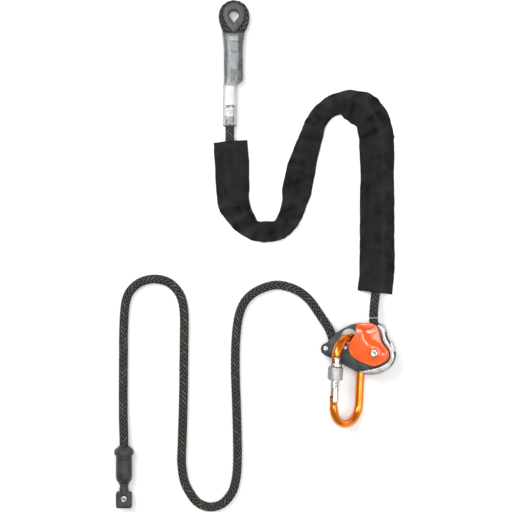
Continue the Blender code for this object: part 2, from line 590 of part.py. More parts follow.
def make_stopper(rubber, dark_rubber, steel):
    """Moulded stopper on the rope's end, and the tab with its eyelet."""
    x, z = STOPPER_AXIS
    body = turned([(6.3, 88.9), (7.1, 88.9), (11.7, 93.2), (11.9, 93.8), (11.9, 98.4),
                   (11.4, 98.9), (9.9, 98.9), (9.9, 128.6), (9.2, 129.8), (6.4, 133.6), (0, 133.6),
                   (0, 127), (5.9, 127)], 28)
    bmesh.ops.scale(body, vec=(1, 1, -1), verts=body.verts)
    add("stopper", along_y(body, x, z), rubber)
    neck = turned([(0, 133.9), (6.3, 133.9), (6.2, 139.4), (5.6, 146), (0, 146)], 20)
    bmesh.ops.scale(neck, vec=(1, 1, -1), verts=neck.verts)
    half_w, half_l, half_t = (s / 2 for s in TAB_SIZE)
    tab = add("stopper_tab", box((x - half_w, x + half_w), (TAB_AT - half_l, TAB_AT + half_l),
                                 (z - half_t, z + half_t)), dark_rubber)
    bevel = tab.modifiers.new("edges", 'BEVEL')
    bevel.width = 2.4 * MM
    bevel.segments = 2
    join(tab, along_y(neck, x, z))
    cut(tab, drum(3.9, z - 5, z + 5, (x, TAB_HOLE_Y), 24))
    eyelet = turned([(2.5, -3.9), (5.0, -3.9), (5.0, -3.8), (3.5, -3.8), (3.5, 3.8), (5.0, 3.8),
                     (5.0, 3.9), (2.5, 3.9)], 24)
    add("tab_eyelet", eyelet, steel, place=(x, TAB_HOLE_Y, z))


def make_all():
    clear_scene()
    silver = material("cast aluminium", "B9B6B3", 1.0, 0.35)
    dark = material("dark anodised plate", "4D5253", 0.6, 0.45)
    orange = material("orange lever", "F74C07", 0.0, 0.25)
    orange_alloy = material("orange anodised alloy", "E8801C", 0.9, 0.3)
    steel = material("steel", "CFCDC9", 1.0, 0.25)
    rope_mat = material("braided rope", "33322D", 0.0, 0.9)
    fabric = material("sleeve fabric", "2A2829", 0.0, 0.95)
    grey = material("thimble plastic", "515151", 0.0, 0.5)
    clear = material("clear cover", "989B9C", 0.0, 0.15)
    paper = material("label", "E8E8E6", 0.0, 0.6)
    print_grey = material("printed band", "C9CBCD", 0.0, 0.6)
    rubber = material("stopper rubber", "474747", 0.0, 0.7)
    dark_rubber = material("tab rubber", "4B4B4B", 0.0, 0.75)

    tilt = Matrix.Rotation(-GRAB_TILT, 4, 'Y')
    grab = empty("grab_place", Matrix.Translation(Vector(AXLE_AT) * MM) @ tilt)
    make_frame(grab, silver)
    make_front_plate(grab, dark)
    make_lever(grab, orange, steel)
    make_axle(grab, steel)
    make_spacers(grab, steel)
    rope("rope_in_grab", rope_path(IN_GRAB), rope_mat, grab)

    across = Matrix.Rotation(LINK_LEAN, 4, 'Z') @ Matrix.Rotation(LINK_SLOPE, 4, 'Y')
    turn = across @ Matrix.Rotation(math.pi, 4, 'Y')
    link = empty("link_place", Matrix.Translation(Vector(LINK_MID) * MM) @ turn)
    make_link_body(link, orange_alloy, steel)
    make_gate(link, silver, steel)

    rope("rope_tail", rope_path(TAIL), rope_mat)
    rope("rope_line", rope_path(LINE), rope_mat)
    make_fabric_sleeve(fabric)
    make_eye(grey, clear, paper, print_grey)
    make_stopper(rubber, dark_rubber, steel)


make_all()
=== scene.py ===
import math

import bmesh
import bpy
from mathutils import Matrix, Vector, noise


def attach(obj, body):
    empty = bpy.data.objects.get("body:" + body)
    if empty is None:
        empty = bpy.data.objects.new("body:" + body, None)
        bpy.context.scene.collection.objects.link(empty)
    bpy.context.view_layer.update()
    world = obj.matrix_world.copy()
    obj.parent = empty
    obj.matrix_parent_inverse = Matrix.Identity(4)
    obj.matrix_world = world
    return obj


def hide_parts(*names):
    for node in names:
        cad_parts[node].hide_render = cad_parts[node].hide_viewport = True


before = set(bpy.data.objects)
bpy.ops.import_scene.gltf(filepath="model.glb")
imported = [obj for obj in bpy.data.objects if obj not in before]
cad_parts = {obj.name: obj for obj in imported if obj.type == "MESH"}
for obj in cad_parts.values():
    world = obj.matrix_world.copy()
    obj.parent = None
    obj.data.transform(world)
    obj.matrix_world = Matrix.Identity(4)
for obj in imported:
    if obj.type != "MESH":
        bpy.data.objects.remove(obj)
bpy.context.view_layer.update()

# Lengths are millimetres unless a comment says metres. MM turns them into the frame's metres.
MM = 0.001

# --- the frames of the grab (axle as z) and of the connector (y along it) ---
SCALE = Matrix.Diagonal((MM, MM, MM, 1))
AXLE_AT = Vector((20.9, 27.9, 26.4))
GRAB_TILT = math.radians(14.5)
GRAB = Matrix.Translation(AXLE_AT * MM) @ Matrix.Rotation(-GRAB_TILT, 4, 'Y') @ SCALE
LINK_MID = Vector((-13.2, -7.0, 21.9))
LINK = (Matrix.Translation(LINK_MID * MM) @ Matrix.Rotation(math.radians(-2.8), 4, 'Z')
        @ Matrix.Rotation(math.radians(44.9 + 180), 4, 'Y') @ SCALE)
WORLD = SCALE

CHANNEL = 6.0
PLATE_TOP = 8.5
LEVER_Z = (9.2, 17.5)
TIP = (-60.6, 4.3)
POST = (-36.0, 5.9)
EYE_HOLE = (-31.3, 18.5)
EYE_HOLE_R = 10.4
SLOT_NEAR = (-25.0, 13.6)          # the rear plate's slot for the connector, its two round ends
SLOT_NEAR_R = 10.5
SLOT_FAR = (-34.5, 19.5)
SLOT_FAR_R = 9.7
AXLE_HOLE_R = 3.35
HUB_HOLE_R = 7.4
TIP_HOLE_R = 2.3
POST_HOLE_R = 1.7
WALL = 2.6                         # thickness of the frame's lower wall
LIP_OUT = 1.9                      # how far the rear plate's lip stands out of the rim

BODY = [(23.6, -4.5), (22.6, 1.5), (20.6, 6.5), (17.2, 11.8), (14.4, 16.2), (12.6, 21.8),
        (12.2, 27.5), (9.8, 31.8), (4.4, 34.6), (-4, 36.2), (-16, 36.4), (-29, 34), (-36.3, 30.7),
        (-42.5, 27), (-49.9, 21.6), (-58.7, 12.2), (-64.6, 8.9), (-66.8, 4.3), (-65.6, -0.6),
        (-61.5, -4.2), (-54.9, -6.9), (-38.8, -15.1), (-22, -23.5), (-11, -26.6), (-1.5, -26.4),
        (7, -24.4), (15, -19.6), (20.6, -13)]
CAM_SIDE = BODY[23:] + BODY[:9]    # the stretch that stays bright beside the lever
EYE_SIDE = BODY[9:23]              # the stretch that the dark front plate covers
PLATE_EDGE = [(1.8, 33.2), (5.4, 27.7), (7.2, 21.7), (8.8, 15.6), (12, 9.6), (15.4, 5), (17.7, 0.7),
              (17.9, -4.8), (14.8, -10.2), (9.2, -14.2), (3, -17.2), (-3.5, -19.3), (-9.5, -20.8),
              (-15.7, -22)]
LEVER = [(-22.6, 31.5), (-20.1, 34.6), (-14.9, 36.5), (-8.8, 37.1), (-2.7, 36.4), (1.8, 33.5),
         (5.3, 28), (6.9, 21.9), (8.4, 15.9), (11.4, 9.9), (15.1, 5.4), (17.4, 1), (17.5, -4.1),
         (14.5, -8.6), (9.5, -12.2), (3.4, -14.9), (-0.8, -15.7), (-5.8, -14.6), (-10.9, -12.7),
         (-17, -10.4), (-23.2, -6.9), (-28.3, -2.5), (-30.8, 3.1), (-31.2, 8.2), (-29.3, 13.2),
         (-26.2, 18.4), (-23.3, 22.4), (-22.4, 26.6)]
LOWER_WALL = [(-3, -26.3), (-11, -26.5), (-22, -23.4), (-38.8, -15), (-50, -9.4)]
TOP_WALL = [(9.4, 25.6), (12.2, 25.6), (12.1, 28.4), (9.9, 31.5), (7.3, 33.2), (7.6, 30.6)]

# --- routes of the rope; TAIL and LINE in the part's frame, in metres, IN_GRAB in the grab's ---
TAIL = [(-0.0329, 0.0495, 0.0125), (-0.0352, 0.0554, 0.0114), (-0.0386, 0.0614, 0.0089),
        (-0.0432, 0.0682, 0.0065), (-0.0505, 0.0793, 0.0055), (-0.0591, 0.091, 0.0054),
        (-0.0708, 0.1009, 0.0054), (-0.0844, 0.1071, 0.0054), (-0.0993, 0.1096, 0.0054),
        (-0.1141, 0.1065, 0.0054), (-0.1289, 0.0991, 0.0054), (-0.14, 0.0873, 0.0054),
        (-0.1468, 0.0688, 0.0054), (-0.1502, 0.0391, 0.0054), (-0.1507, 0.002, 0.0054),
        (-0.1494, -0.0375, 0.0054), (-0.1483, -0.077, 0.0054), (-0.1481, -0.109, 0.0054),
        (-0.1499, -0.13, 0.0054), (-0.1549, -0.1468, 0.0054), (-0.1666, -0.1604, 0.0054),
        (-0.182, -0.1647, 0.0054), (-0.1969, -0.1592, 0.0054), (-0.2074, -0.1462, 0.0054),
        (-0.2142, -0.131, 0.0054), (-0.2171, -0.109, 0.0054), (-0.2166, -0.088, 0.0054),
        (-0.2156, -0.057, 0.0054), (-0.2147, -0.0226, 0.0054), (-0.2144, 0.0095, 0.0054),
        (-0.214, 0.0416, 0.0054), (-0.2139, 0.0725, 0.0054), (-0.2166, 0.091, 0.0054),
        (-0.2228, 0.1034, 0.0054), (-0.2339, 0.1133, 0.0054), (-0.25, 0.117, 0.0054),
        (-0.2673, 0.1133, 0.0054), (-0.2796, 0.1034, 0.0054), (-0.2852, 0.092, 0.0054),
        (-0.2877, 0.076, 0.0054), (-0.2888, 0.0515, 0.0054), (-0.289, 0.0218, 0.0054),
        (-0.2892, -0.0078, 0.0054), (-0.2892, -0.032, 0.0058), (-0.2887, -0.056, 0.0084),
        (-0.2879, -0.074, 0.0111), (-0.2876, -0.086, 0.012), (-0.2876, -0.104, 0.012),
        (-0.2876, -0.1264, 0.012)]
LINE = [(0.0182, 0.0702, 0.0256), (0.0183, 0.076, 0.0249), (0.0196, 0.086, 0.0194),
        (0.0212, 0.096, 0.015), (0.0219, 0.1004, 0.0134), (0.0242, 0.12, 0.0092),
        (0.025, 0.14, 0.0074), (0.0254, 0.171, 0.007), (0.0254, 0.208, 0.007),
        (0.0254, 0.245, 0.007), (0.0248, 0.276, 0.007), (0.0217, 0.2997, 0.007),
        (0.0155, 0.3157, 0.007), (0.0044, 0.3274, 0.007), (-0.0092, 0.3336, 0.007),
        (-0.024, 0.3342, 0.007), (-0.0388, 0.3256, 0.007), (-0.0499, 0.3114, 0.007),
        (-0.0573, 0.2935, 0.007), (-0.0641, 0.2738, 0.007), (-0.0697, 0.2515, 0.007),
        (-0.074, 0.227, 0.007), (-0.0783, 0.207, 0.007), (-0.0845, 0.1898, 0.007),
        (-0.0968, 0.1781, 0.007), (-0.1129, 0.175, 0.007), (-0.1289, 0.1781, 0.007),
        (-0.1412, 0.1911, 0.007), (-0.1499, 0.2108, 0.007), (-0.153, 0.2367, 0.007),
        (-0.1554, 0.264, 0.007), (-0.1574, 0.2873, 0.007), (-0.1575, 0.3, 0.0073),
        (-0.1575, 0.33, 0.0074), (-0.1575, 0.354, 0.0075), (-0.1584, 0.368, 0.0078),
        (-0.1585, 0.39, 0.0078), (-0.1585, 0.409, 0.0078), (-0.1596, 0.419, 0.0078),
        (-0.1639, 0.431, 0.0078), (-0.1658, 0.442, 0.0078), (-0.1619, 0.4515, 0.0078),
        (-0.1523, 0.4555, 0.0078), (-0.1427, 0.4515, 0.0078), (-0.1388, 0.442, 0.0078),
        (-0.1404, 0.431, 0.0078), (-0.1463, 0.419, 0.0078), (-0.1475, 0.409, 0.0078),
        (-0.1475, 0.39, 0.0078), (-0.1475, 0.363, 0.0078)]
IN_GRAB = [(-55.2, 20.6, 0), (-51.2, 10.2, 0), (-45.6, 2.3, 0), (-37.5, -3.7, 0), (-28, -8, 0),
           (-18, -11.7, 0), (-8, -13.9, 0), (0, -14.3, 0), (8.6, -11.5, 0), (13.4, -4.6, 0),
           (14, 3.2, 0), (10.9, 10.8, 0), (6.2, 18.6, 0), (1.8, 27.3, 0), (-1.3, 33.5, 0),
           (-2.7, 37, 0), (-2.8, 41, 0)]
ROPE_R = 5.4
ROPE_STRANDS = 8                   # drawn coarser than the real 32-carrier braid, which would blur
ROPE_PITCH = 5.6
BRAID_LOW = -0.3                   # the braid's valleys and its crowns above them, from ROPE_R
BRAID_RELIEF = 0.42

# --- protective sleeve: it covers these points of LINE ---
FABRIC_FIRST = 4
FABRIC_LAST = 31
# how far the cloth reaches on the right and the left of the rope at each of them
FABRIC_RIGHT = [21.5, 21.5, 21.5, 20.8, 20.8, 20.2, 21.4, 22.4, 22.9, 22.6, 17.1, 12.8, 12.2, 13,
                13.6, 15.2, 18, 18.6, 15.5, 15, 12.3, 13.5, 12.3, 14.9, 17.1, 19.8, 21.6, 21.6]
FABRIC_LEFT = [21.5, 21.5, 22, 22, 22, 21.2, 22, 20.6, 19.4, 21.4, 19.8, 13.9, 12.2, 12.2, 15.2,
               16.7, 18.3, 17.7, 14.9, 12.6, 12.3, 12.2, 12.2, 16.7, 22.3, 22.3, 21.1, 20.4]
FABRIC_WALL = 0.8
WARP_YARNS = 56                    # drawn coarser than the real weave, which would blur
WEFT_SPACING = 1.5
FABRIC_EDGE_Z = 1.6                # the cloth's upper side at its edges, and over the rope
FABRIC_CROWN_Z = 12.6
FABRIC_REST_Z = 7.0                # height of the rope's middle that FABRIC_CROWN_Z goes with

# --- sewn eye ---
EYE_AT = (-152.3, 442.0, 7.8)
THIMBLE_RING = [(0, 14.6), (8.6, 11.3), (12.6, 5), (13, -1), (10.8, -8.6), (6.6, -15.6),
                (2.2, -21), (-2.2, -21), (-6.6, -15.6), (-10.8, -8.6), (-13, -1), (-12.6, 5),
                (-8.6, 11.3)]
THIMBLE_CORE = [(0, 7.6), (4.4, 6.2), (7.0, 2.6), (7.3, -1.4), (6.3, -7), (4.3, -12.4),
                (1.5, -17.6), (-1.5, -17.6), (-4.3, -12.4), (-6.3, -7), (-7.3, -1.4), (-7.0, 2.6),
                (-4.4, 6.2)]
THIMBLE_HOLE = [(0, 6.2), (4.6, 4.2), (6.2, 0.2), (5.0, -3.6), (2.4, -6.8), (0.5, -9.6), (0, -10),
                (-0.5, -9.6), (-2.4, -6.8), (-5.0, -3.6), (-6.2, 0.2), (-4.6, 4.2)]

# --- stopper ---
STOPPER_AXIS = (-287.6, 12.0)
TAB_AT = -154.5
TAB_HOLE_Y = -153.0
TAB_HALF_W = 9.75
TAB_HALF_L = 10.3
TAB_CORNER = 2.6


# ---------------------------------------------------------------- materials

def linear(colour):
    """An sRGB hex colour as linear RGBA."""
    channels = [int(colour[i:i + 2], 16) / 255 for i in (0, 2, 4)]
    return (*[((c + 0.055) / 1.055) ** 2.4 if c > 0.04045 else c / 12.92 for c in channels], 1)


def add(mat, kind, inputs=None, **settings):
    """A node of that kind; an input is a value or another node's output."""
    made = mat.node_tree.nodes.new(kind)
    for key, value in settings.items():
        setattr(made, key, value)
    for key, value in (inputs or {}).items():
        socket = made.inputs[key]
        if isinstance(value, bpy.types.NodeSocket):
            mat.node_tree.links.new(value, socket)
        else:
            socket.default_value = value
    return made


def calc(mat, operation, *values):
    """A Math node's output."""
    return add(mat, 'ShaderNodeMath', dict(enumerate(values)), operation=operation).outputs[0]


def surface(name, metallic, roughness, **more):
    """A new material with its Principled shader."""
    mat = bpy.data.materials.new(name)
    mat.use_nodes = True
    shader = mat.node_tree.nodes["Principled BSDF"]
    shader.inputs["Metallic"].default_value = metallic
    shader.inputs["Roughness"].default_value = roughness
    for key, value in more.items():
        shader.inputs[key.replace("_", " ")].default_value = value
    return mat, shader


def wire(mat, output, shader, name):
    """Links an output to one of the shader's inputs."""
    mat.node_tree.links.new(output, shader.inputs[name])


def blend_colours(mat, factor, low, high):
    """Two hex colours mixed by a socket."""
    mix = add(mat, 'ShaderNodeMix', {"Factor": factor}, data_type='RGBA')
    mix.inputs["A"].default_value = linear(low)
    mix.inputs["B"].default_value = linear(high)
    return mix.outputs["Result"]


def grain(mat, size, detail=3.0, roughness=0.55):
    """Noise in the object's own coordinates; size is its largest feature in millimetres."""
    place = add(mat, 'ShaderNodeTexCoord').outputs["Object"]
    return add(mat, 'ShaderNodeTexNoise', {"Vector": place, "Scale": 1 / (size * MM),
                                           "Detail": detail, "Roughness": roughness}).outputs["Fac"]


def spread(mat, value, low, high, to_low=0.0, to_high=1.0):
    """value's span from low to high stretched over another span, and clamped."""
    made = add(mat, 'ShaderNodeMapRange', {"Value": value, "From Min": low, "From Max": high,
                                           "To Min": to_low, "To Max": to_high})
    return made.outputs["Result"]


def bump(mat, shader, height, distance, strength=1.0, under=None):
    """Bump of that height in millimetres on the shader; under is an earlier bump's normal."""
    inputs = {"Height": height, "Distance": distance * MM, "Strength": strength}
    if under is not None:
        inputs["Normal"] = under
    made = add(mat, 'ShaderNodeBump', inputs).outputs["Normal"]
    wire(mat, made, shader, "Normal")
    return made


def plain_finish(name, low, high, metallic, rough, patch, fine, fine_depth, **more):
    """Colour that drifts over patches, roughness that drifts with it, and a fine grain."""
    mat, shader = surface(name, metallic, rough[0], **more)
    drift = spread(mat, grain(mat, patch), 0.35, 0.65)
    wire(mat, blend_colours(mat, drift, low, high), shader, "Base Color")
    wire(mat, spread(mat, grain(mat, patch * 0.4), 0.3, 0.7, *rough), shader, "Roughness")
    bump(mat, shader, grain(mat, fine, 2.0), fine_depth)
    return mat


def braid_parts(mat, across, along, strands, pitch):
    """How high the upper strand stands, and a number that is steady along each strand."""
    turn = calc(mat, 'MULTIPLY', across, float(strands))
    run = calc(mat, 'DIVIDE', along, pitch * MM)
    rising = calc(mat, 'ADD', turn, run)
    falling = calc(mat, 'SUBTRACT', turn, run)
    cells = calc(mat, 'ADD', calc(mat, 'FLOOR', rising), calc(mat, 'FLOOR', falling))
    upper = calc(mat, 'LESS_THAN', calc(mat, 'FLOORED_MODULO', cells, 4.0), 1.5)
    domes = []
    for strand in (rising, falling):
        swing = calc(mat, 'PINGPONG', strand, 0.5)
        domes.append(calc(mat, 'SINE', calc(mat, 'MULTIPLY', swing, math.pi)))
    pick = add(mat, 'ShaderNodeMix', {"Factor": upper, "A": domes[1], "B": domes[0]},
               data_type='FLOAT').outputs["Result"]
    lane = add(mat, 'ShaderNodeMix', {"Factor": upper, "A": calc(mat, 'FLOOR', falling),
                                      "B": calc(mat, 'FLOOR', rising)},
               data_type='FLOAT').outputs["Result"]
    return pick, lane


def rope_material():
    """Dyed nylon kernmantle braid: matt black-brown yarn, painted highlight on the crowns and
    painted shade in the valleys, broken by random worn fibres.
    """
    mat, shader = surface("braided_rope_yarn", 0.0, 0.85, Specular_IOR_Level=0.15,
                          Sheen_Weight=0.04, Sheen_Roughness=0.5)
    uv = add(mat, 'ShaderNodeUVMap', uv_map="along").outputs["UV"]
    parts = add(mat, 'ShaderNodeSeparateXYZ', {"Vector": uv}).outputs
    crown, lane = braid_parts(mat, parts["X"], parts["Y"], ROPE_STRANDS, ROPE_PITCH)
    fuzz = grain(mat, 0.9, 4.0, 0.7)
    worn = spread(mat, fuzz, 0.3, 0.7, 0.35, 1.0)
    # Painted light: crowns lighter as painted highlight, valleys near black as painted shade,
    # scaled by random wear.
    lit = calc(mat, 'MULTIPLY', spread(mat, crown, 0.45, 1.0), worn)
    body = blend_colours(mat, lit, "040404", "5C5A54")
    tone = add(mat, 'ShaderNodeTexWhiteNoise', {"W": lane}, noise_dimensions='1D').outputs["Value"]
    # Real tracer yarns, shown only where the crowns carry painted highlight.
    tracer = calc(mat, 'MULTIPLY', calc(mat, 'GREATER_THAN', tone, 0.8), lit)
    mix = add(mat, 'ShaderNodeMix', {"Factor": calc(mat, 'MULTIPLY', tracer, 0.3), "A": body},
              data_type='RGBA')
    mix.inputs["B"].default_value = linear("8E8C83")
    wire(mat, mix.outputs["Result"], shader, "Base Color")
    first = bump(mat, shader, crown, 0.35, 0.8)
    bump(mat, shader, fuzz, 0.12, 0.5, first)
    return mat


def sleeve_material():
    """Heavy woven polyamide tube: matt black with dusty patches and lint, painted highlight on
    raised folds, painted shade in creases.
    """
    mat, shader = surface("sleeve_weave", 0.0, 0.9, Specular_IOR_Level=0.12, Sheen_Weight=0.05,
                          Sheen_Roughness=0.6)
    uv = add(mat, 'ShaderNodeUVMap', uv_map="along").outputs["UV"]
    parts = add(mat, 'ShaderNodeSeparateXYZ', {"Vector": uv}).outputs
    warp = calc(mat, 'SINE', calc(mat, 'MULTIPLY', parts["X"], 2 * math.pi * WARP_YARNS))
    weft = calc(mat, 'SINE', calc(mat, 'MULTIPLY', parts["Y"], 2 * math.pi / (WEFT_SPACING * MM)))
    weave = calc(mat, 'MULTIPLY', warp, weft)
    dust = grain(mat, 26, 5.0, 0.6)
    lint = spread(mat, grain(mat, 1.6, 3.0, 0.7), 0.55, 0.8)
    # The folds' painted light, per vertex: paler on raised ripples and pleats, darker in creases
    # and underneath.
    fold_shading = add(mat, 'ShaderNodeAttribute', attribute_name="fold_shading").outputs["Fac"]
    shade = calc(mat, 'ADD', calc(mat, 'MULTIPLY', weave, 0.1), spread(mat, dust, 0.3, 0.7, 0, 0.5))
    shade = calc(mat, 'ADD', shade, calc(mat, 'MULTIPLY', lint, 0.2))
    # Painted highlight and shade of the folds added to the real weave, dust and lint.
    shade = calc(mat, 'ADD', shade, spread(mat, fold_shading, 0.1, 0.9, -0.5, 0.7))
    wire(mat, blend_colours(mat, spread(mat, shade, -0.2, 1.4), "060505", "332F2F"), shader,
         "Base Color")
    wire(mat, spread(mat, dust, 0.3, 0.7, 0.82, 0.95), shader, "Roughness")
    first = bump(mat, shader, weave, 0.18, 0.6)
    bump(mat, shader, dust, 0.6, 0.4, first)
    return mat


def label_material(name, paper, ink, line_gap, line_share):
    """Printed film label: satin paper with plain grey bars in place of print."""
    mat, shader = surface(name, 0.0, 0.45, Coat_Weight=0.3, Coat_Roughness=0.2)
    uv = add(mat, 'ShaderNodeUVMap', uv_map="along").outputs["UV"]
    parts = add(mat, 'ShaderNodeSeparateXYZ', {"Vector": uv}).outputs
    row = calc(mat, 'DIVIDE', parts["Y"], line_gap * MM)
    bar = calc(mat, 'LESS_THAN', calc(mat, 'FRACT', row), line_share)
    word = add(mat, 'ShaderNodeTexWhiteNoise',
               {"Vector": add(mat, 'ShaderNodeCombineXYZ', {
                   "X": calc(mat, 'FLOOR', calc(mat, 'MULTIPLY', parts["X"], 30.0)),
                   "Y": calc(mat, 'FLOOR', row)}).outputs["Vector"]},
               noise_dimensions='2D').outputs["Value"]
    print_here = calc(mat, 'MULTIPLY', bar, calc(mat, 'GREATER_THAN', word, 0.3))
    wire(mat, blend_colours(mat, print_here, paper, ink), shader, "Base Color")
    bump(mat, shader, grain(mat, 4.0), 0.1)
    return mat


FILM_DOUBLES = (0.354, 0.360)      # metres along y: single film below, doubled over the splice


def clear_material():
    """Clear heat-shrunk film: glossy, faintly grey, wrinkled."""
    mat, shader = surface("clear_film", 0.0, 0.12, IOR=1.45, Transmission_Weight=0.9)
    cloud = spread(mat, grain(mat, 9, 3.0), 0.35, 0.7)
    place = add(mat, 'ShaderNodeTexCoord').outputs["Object"]
    along = add(mat, 'ShaderNodeSeparateXYZ', {"Vector": place}).outputs["Y"]
    thick = spread(mat, along, *FILM_DOUBLES)
    mix = add(mat, 'ShaderNodeMix', {"Factor": thick, "A": linear("FFFFFF"),
                                     "B": blend_colours(mat, cloud, "B4B9BC", "E6E9EA")},
              data_type='RGBA')
    wire(mat, mix.outputs["Result"], shader, "Base Color")
    bump(mat, shader, grain(mat, 5, 3.0), 1.2, 0.8)
    return mat


DRAWN_LINES = (900, 60, 900)       # lines per metre: fine across the bar, long along it


def orange_alloy():
    """Anodised bar: saturated orange over metal, warmer and darker in patches, fine drawn lines."""
    mat, shader = surface("orange_anodised_bar", 0.85, 0.24, Coat_Weight=0.4, Coat_Roughness=0.12)
    place = add(mat, 'ShaderNodeTexCoord').outputs["Object"]
    lines = add(mat, 'ShaderNodeTexNoise', {
        "Vector": add(mat, 'ShaderNodeMapping', {"Vector": place,
                                                 "Scale": DRAWN_LINES}).outputs["Vector"],
        "Scale": 1.0, "Detail": 3.0}).outputs["Fac"]
    wire(mat, blend_colours(mat, spread(mat, grain(mat, 14), 0.3, 0.7), "DE6A08", "F08A1C"),
         shader, "Base Color")
    wire(mat, spread(mat, lines, 0.3, 0.7, 0.18, 0.32), shader, "Roughness")
    bump(mat, shader, lines, 0.02)
    return mat


def make_materials():
    return {
        "rope": rope_material(),
        "sleeve": sleeve_material(),
        "stitch": plain_finish("sleeve_thread", "2B2A2A", "474545", 0.0, (0.7, 0.85), 3, 0.5, 0.1),
        "cast": plain_finish("cast_aluminium_skin", "94918D", "B0AEAA", 0.95, (0.28, 0.42), 9, 0.7,
                             0.06),
        "dark": plain_finish("dark_anodised_skin", "2E3233", "4C5051", 0.55, (0.34, 0.48), 16, 0.5,
                             0.05),
        "lever": plain_finish("orange_lever_gloss", "F24A00", "FA5E0C", 0.0, (0.16, 0.24), 20, 6,
                              0.05, Coat_Weight=0.6, Coat_Roughness=0.08),
        "bar": orange_alloy(),
        "alloy": plain_finish("bright_alloy_skin", "BDBBB7", "DCDAD6", 0.95, (0.2, 0.34), 6, 0.5,
                              0.03),
        "grip": plain_finish("grip_alloy_skin", "9C9B9B", "B8B6B5", 0.8, (0.38, 0.5), 6, 0.5,
                             0.04),
        "steel": plain_finish("zinc_steel_skin", "B4B2AD", "D6D4D0", 1.0, (0.2, 0.34), 3, 0.4,
                              0.03),
        "thimble": plain_finish("thimble_nylon", "3A3A3A", "4C4C4C", 0.0, (0.42, 0.55), 8, 0.8,
                                0.05, Specular_IOR_Level=0.35),
        "rubber": plain_finish("stopper_rubber_skin", "2A2A2A", "3B3B3B", 0.0, (0.4, 0.55), 10,
                               0.6, 0.08, Specular_IOR_Level=0.3),
        "tab": plain_finish("tab_rubber_skin", "2E2E2E", "404040", 0.0, (0.4, 0.55), 10, 0.6,
                            0.08, Specular_IOR_Level=0.3),
        "clear": clear_material(),
        "white_label": label_material("white_label_film", "F4F4F2", "C3C4C6", 3.0, 0.35),
        "grey_label": label_material("grey_label_film", "A4A7A9", "6E7173", 2.8, 0.45),
        "band": label_material("printed_band_film", "D3D5D8", "8D9093", 2.2, 0.5),
    }


# ---------------------------------------------------------------- mesh helpers

def smooth(points, step, closed=False):
    """Points every step or so along the smooth curve through points."""
    pts = [Vector((*p, 0)) if len(p) == 2 else Vector(p) for p in points]
    count = len(pts)
    out = []
    for i in range(count if closed else count - 1):
        if closed:
            a, b, c, d = (pts[(i + k) % count] for k in (-1, 0, 1, 2))
        else:
            b, c = pts[i], pts[i + 1]
            a = pts[i - 1] if i else b * 2 - c
            d = pts[i + 2] if i + 2 < count else c * 2 - b
        pieces = max(1, round((c - b).length / step))
        for k in range(pieces):
            t = k / pieces
            out.append(0.5 * (2 * b + (c - a) * t + (2 * a - 5 * b + 4 * c - d) * t * t
                              + (3 * b - 3 * c + d - a) * t ** 3))
    if not closed:
        out.append(pts[-1])
    return out


def resample(points, count, closed=False):
    """count points evenly along a line of points."""
    pts = list(points) + ([points[0]] if closed else [])
    lengths = run_lengths(pts)
    out = []
    spans = count if closed else count - 1
    j = 0
    for i in range(count):
        want = lengths[-1] * i / spans
        while j < len(lengths) - 2 and lengths[j + 1] < want:
            j += 1
        run = lengths[j + 1] - lengths[j]
        out.append(pts[j].lerp(pts[j + 1], (want - lengths[j]) / run if run else 0.0))
    return out


def run_lengths(path):
    """How far along its path each point lies."""
    out = [0.0]
    for a, b in zip(path, path[1:]):
        out.append(out[-1] + (b - a).length)
    return out


def axes_along(path, up_hint=Vector((0, 0, 1))):
    """Side and up directions at each point of a path."""
    out = []
    for i in range(len(path)):
        along = (path[min(i + 1, len(path) - 1)] - path[max(i - 1, 0)]).normalized()
        side = along.cross(up_hint).normalized()
        out.append((side, side.cross(along).normalized()))
    return out


def skin(rings, lengths, caps=True, around=True, joined=False):
    """A surface through rings of points; u runs round from 0 to 1 and v along in the unit given."""
    bm = bmesh.new()
    uv = bm.loops.layers.uv.new("along")
    rows = [[bm.verts.new(p) for p in ring] for ring in rings]
    count = len(rows[0])
    for i in range(len(rows) if joined else len(rows) - 1):
        near, far = rows[i], rows[(i + 1) % len(rows)]
        v0, v1 = lengths[i], lengths[i + 1] if i + 1 < len(lengths) else lengths[i]
        for k in range(count if around else count - 1):
            n = (k + 1) % count
            face = bm.faces.new((near[k], near[n], far[n], far[k]))
            corners = ((k, v0), (k + 1, v0), (k + 1, v1), (k, v1))
            for loop, (u, v) in zip(face.loops, corners):
                loop[uv].uv = (u / count, v)
    if caps:
        bm.faces.new(rows[0][::-1])
        bm.faces.new(rows[-1])
    return bm


def put(name, bm, mat, body, place=WORLD, stands_for=(), angle=40):
    """A finished object at the origin with the mesh in place, riding on a body."""
    bmesh.ops.transform(bm, matrix=place, verts=bm.verts)
    bmesh.ops.recalc_face_normals(bm, faces=bm.faces)
    mesh = bpy.data.meshes.new(name)
    bm.to_mesh(mesh)
    bm.free()
    mesh.materials.append(mat)
    mesh.shade_smooth()
    mesh.set_sharp_from_angle(angle=math.radians(angle))
    obj = bpy.data.objects.new(name, mesh)
    bpy.context.collection.objects.link(obj)
    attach(obj, body)
    if stands_for:
        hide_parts(*stands_for)
    return obj


def walled(piece, thickness):
    """The piece with an inner wall that many millimetres below its skin."""
    wall = piece.modifiers.new("wall", 'SOLIDIFY')
    wall.thickness = thickness * MM
    wall.offset = -1.0
    return piece


def merge(*parts):
    """Several bmeshes as one."""
    out = bmesh.new()
    for bm in parts:
        mesh = bpy.data.meshes.new("part")
        bm.to_mesh(mesh)
        bm.free()
        out.from_mesh(mesh)
        bpy.data.meshes.remove(mesh)
    return out


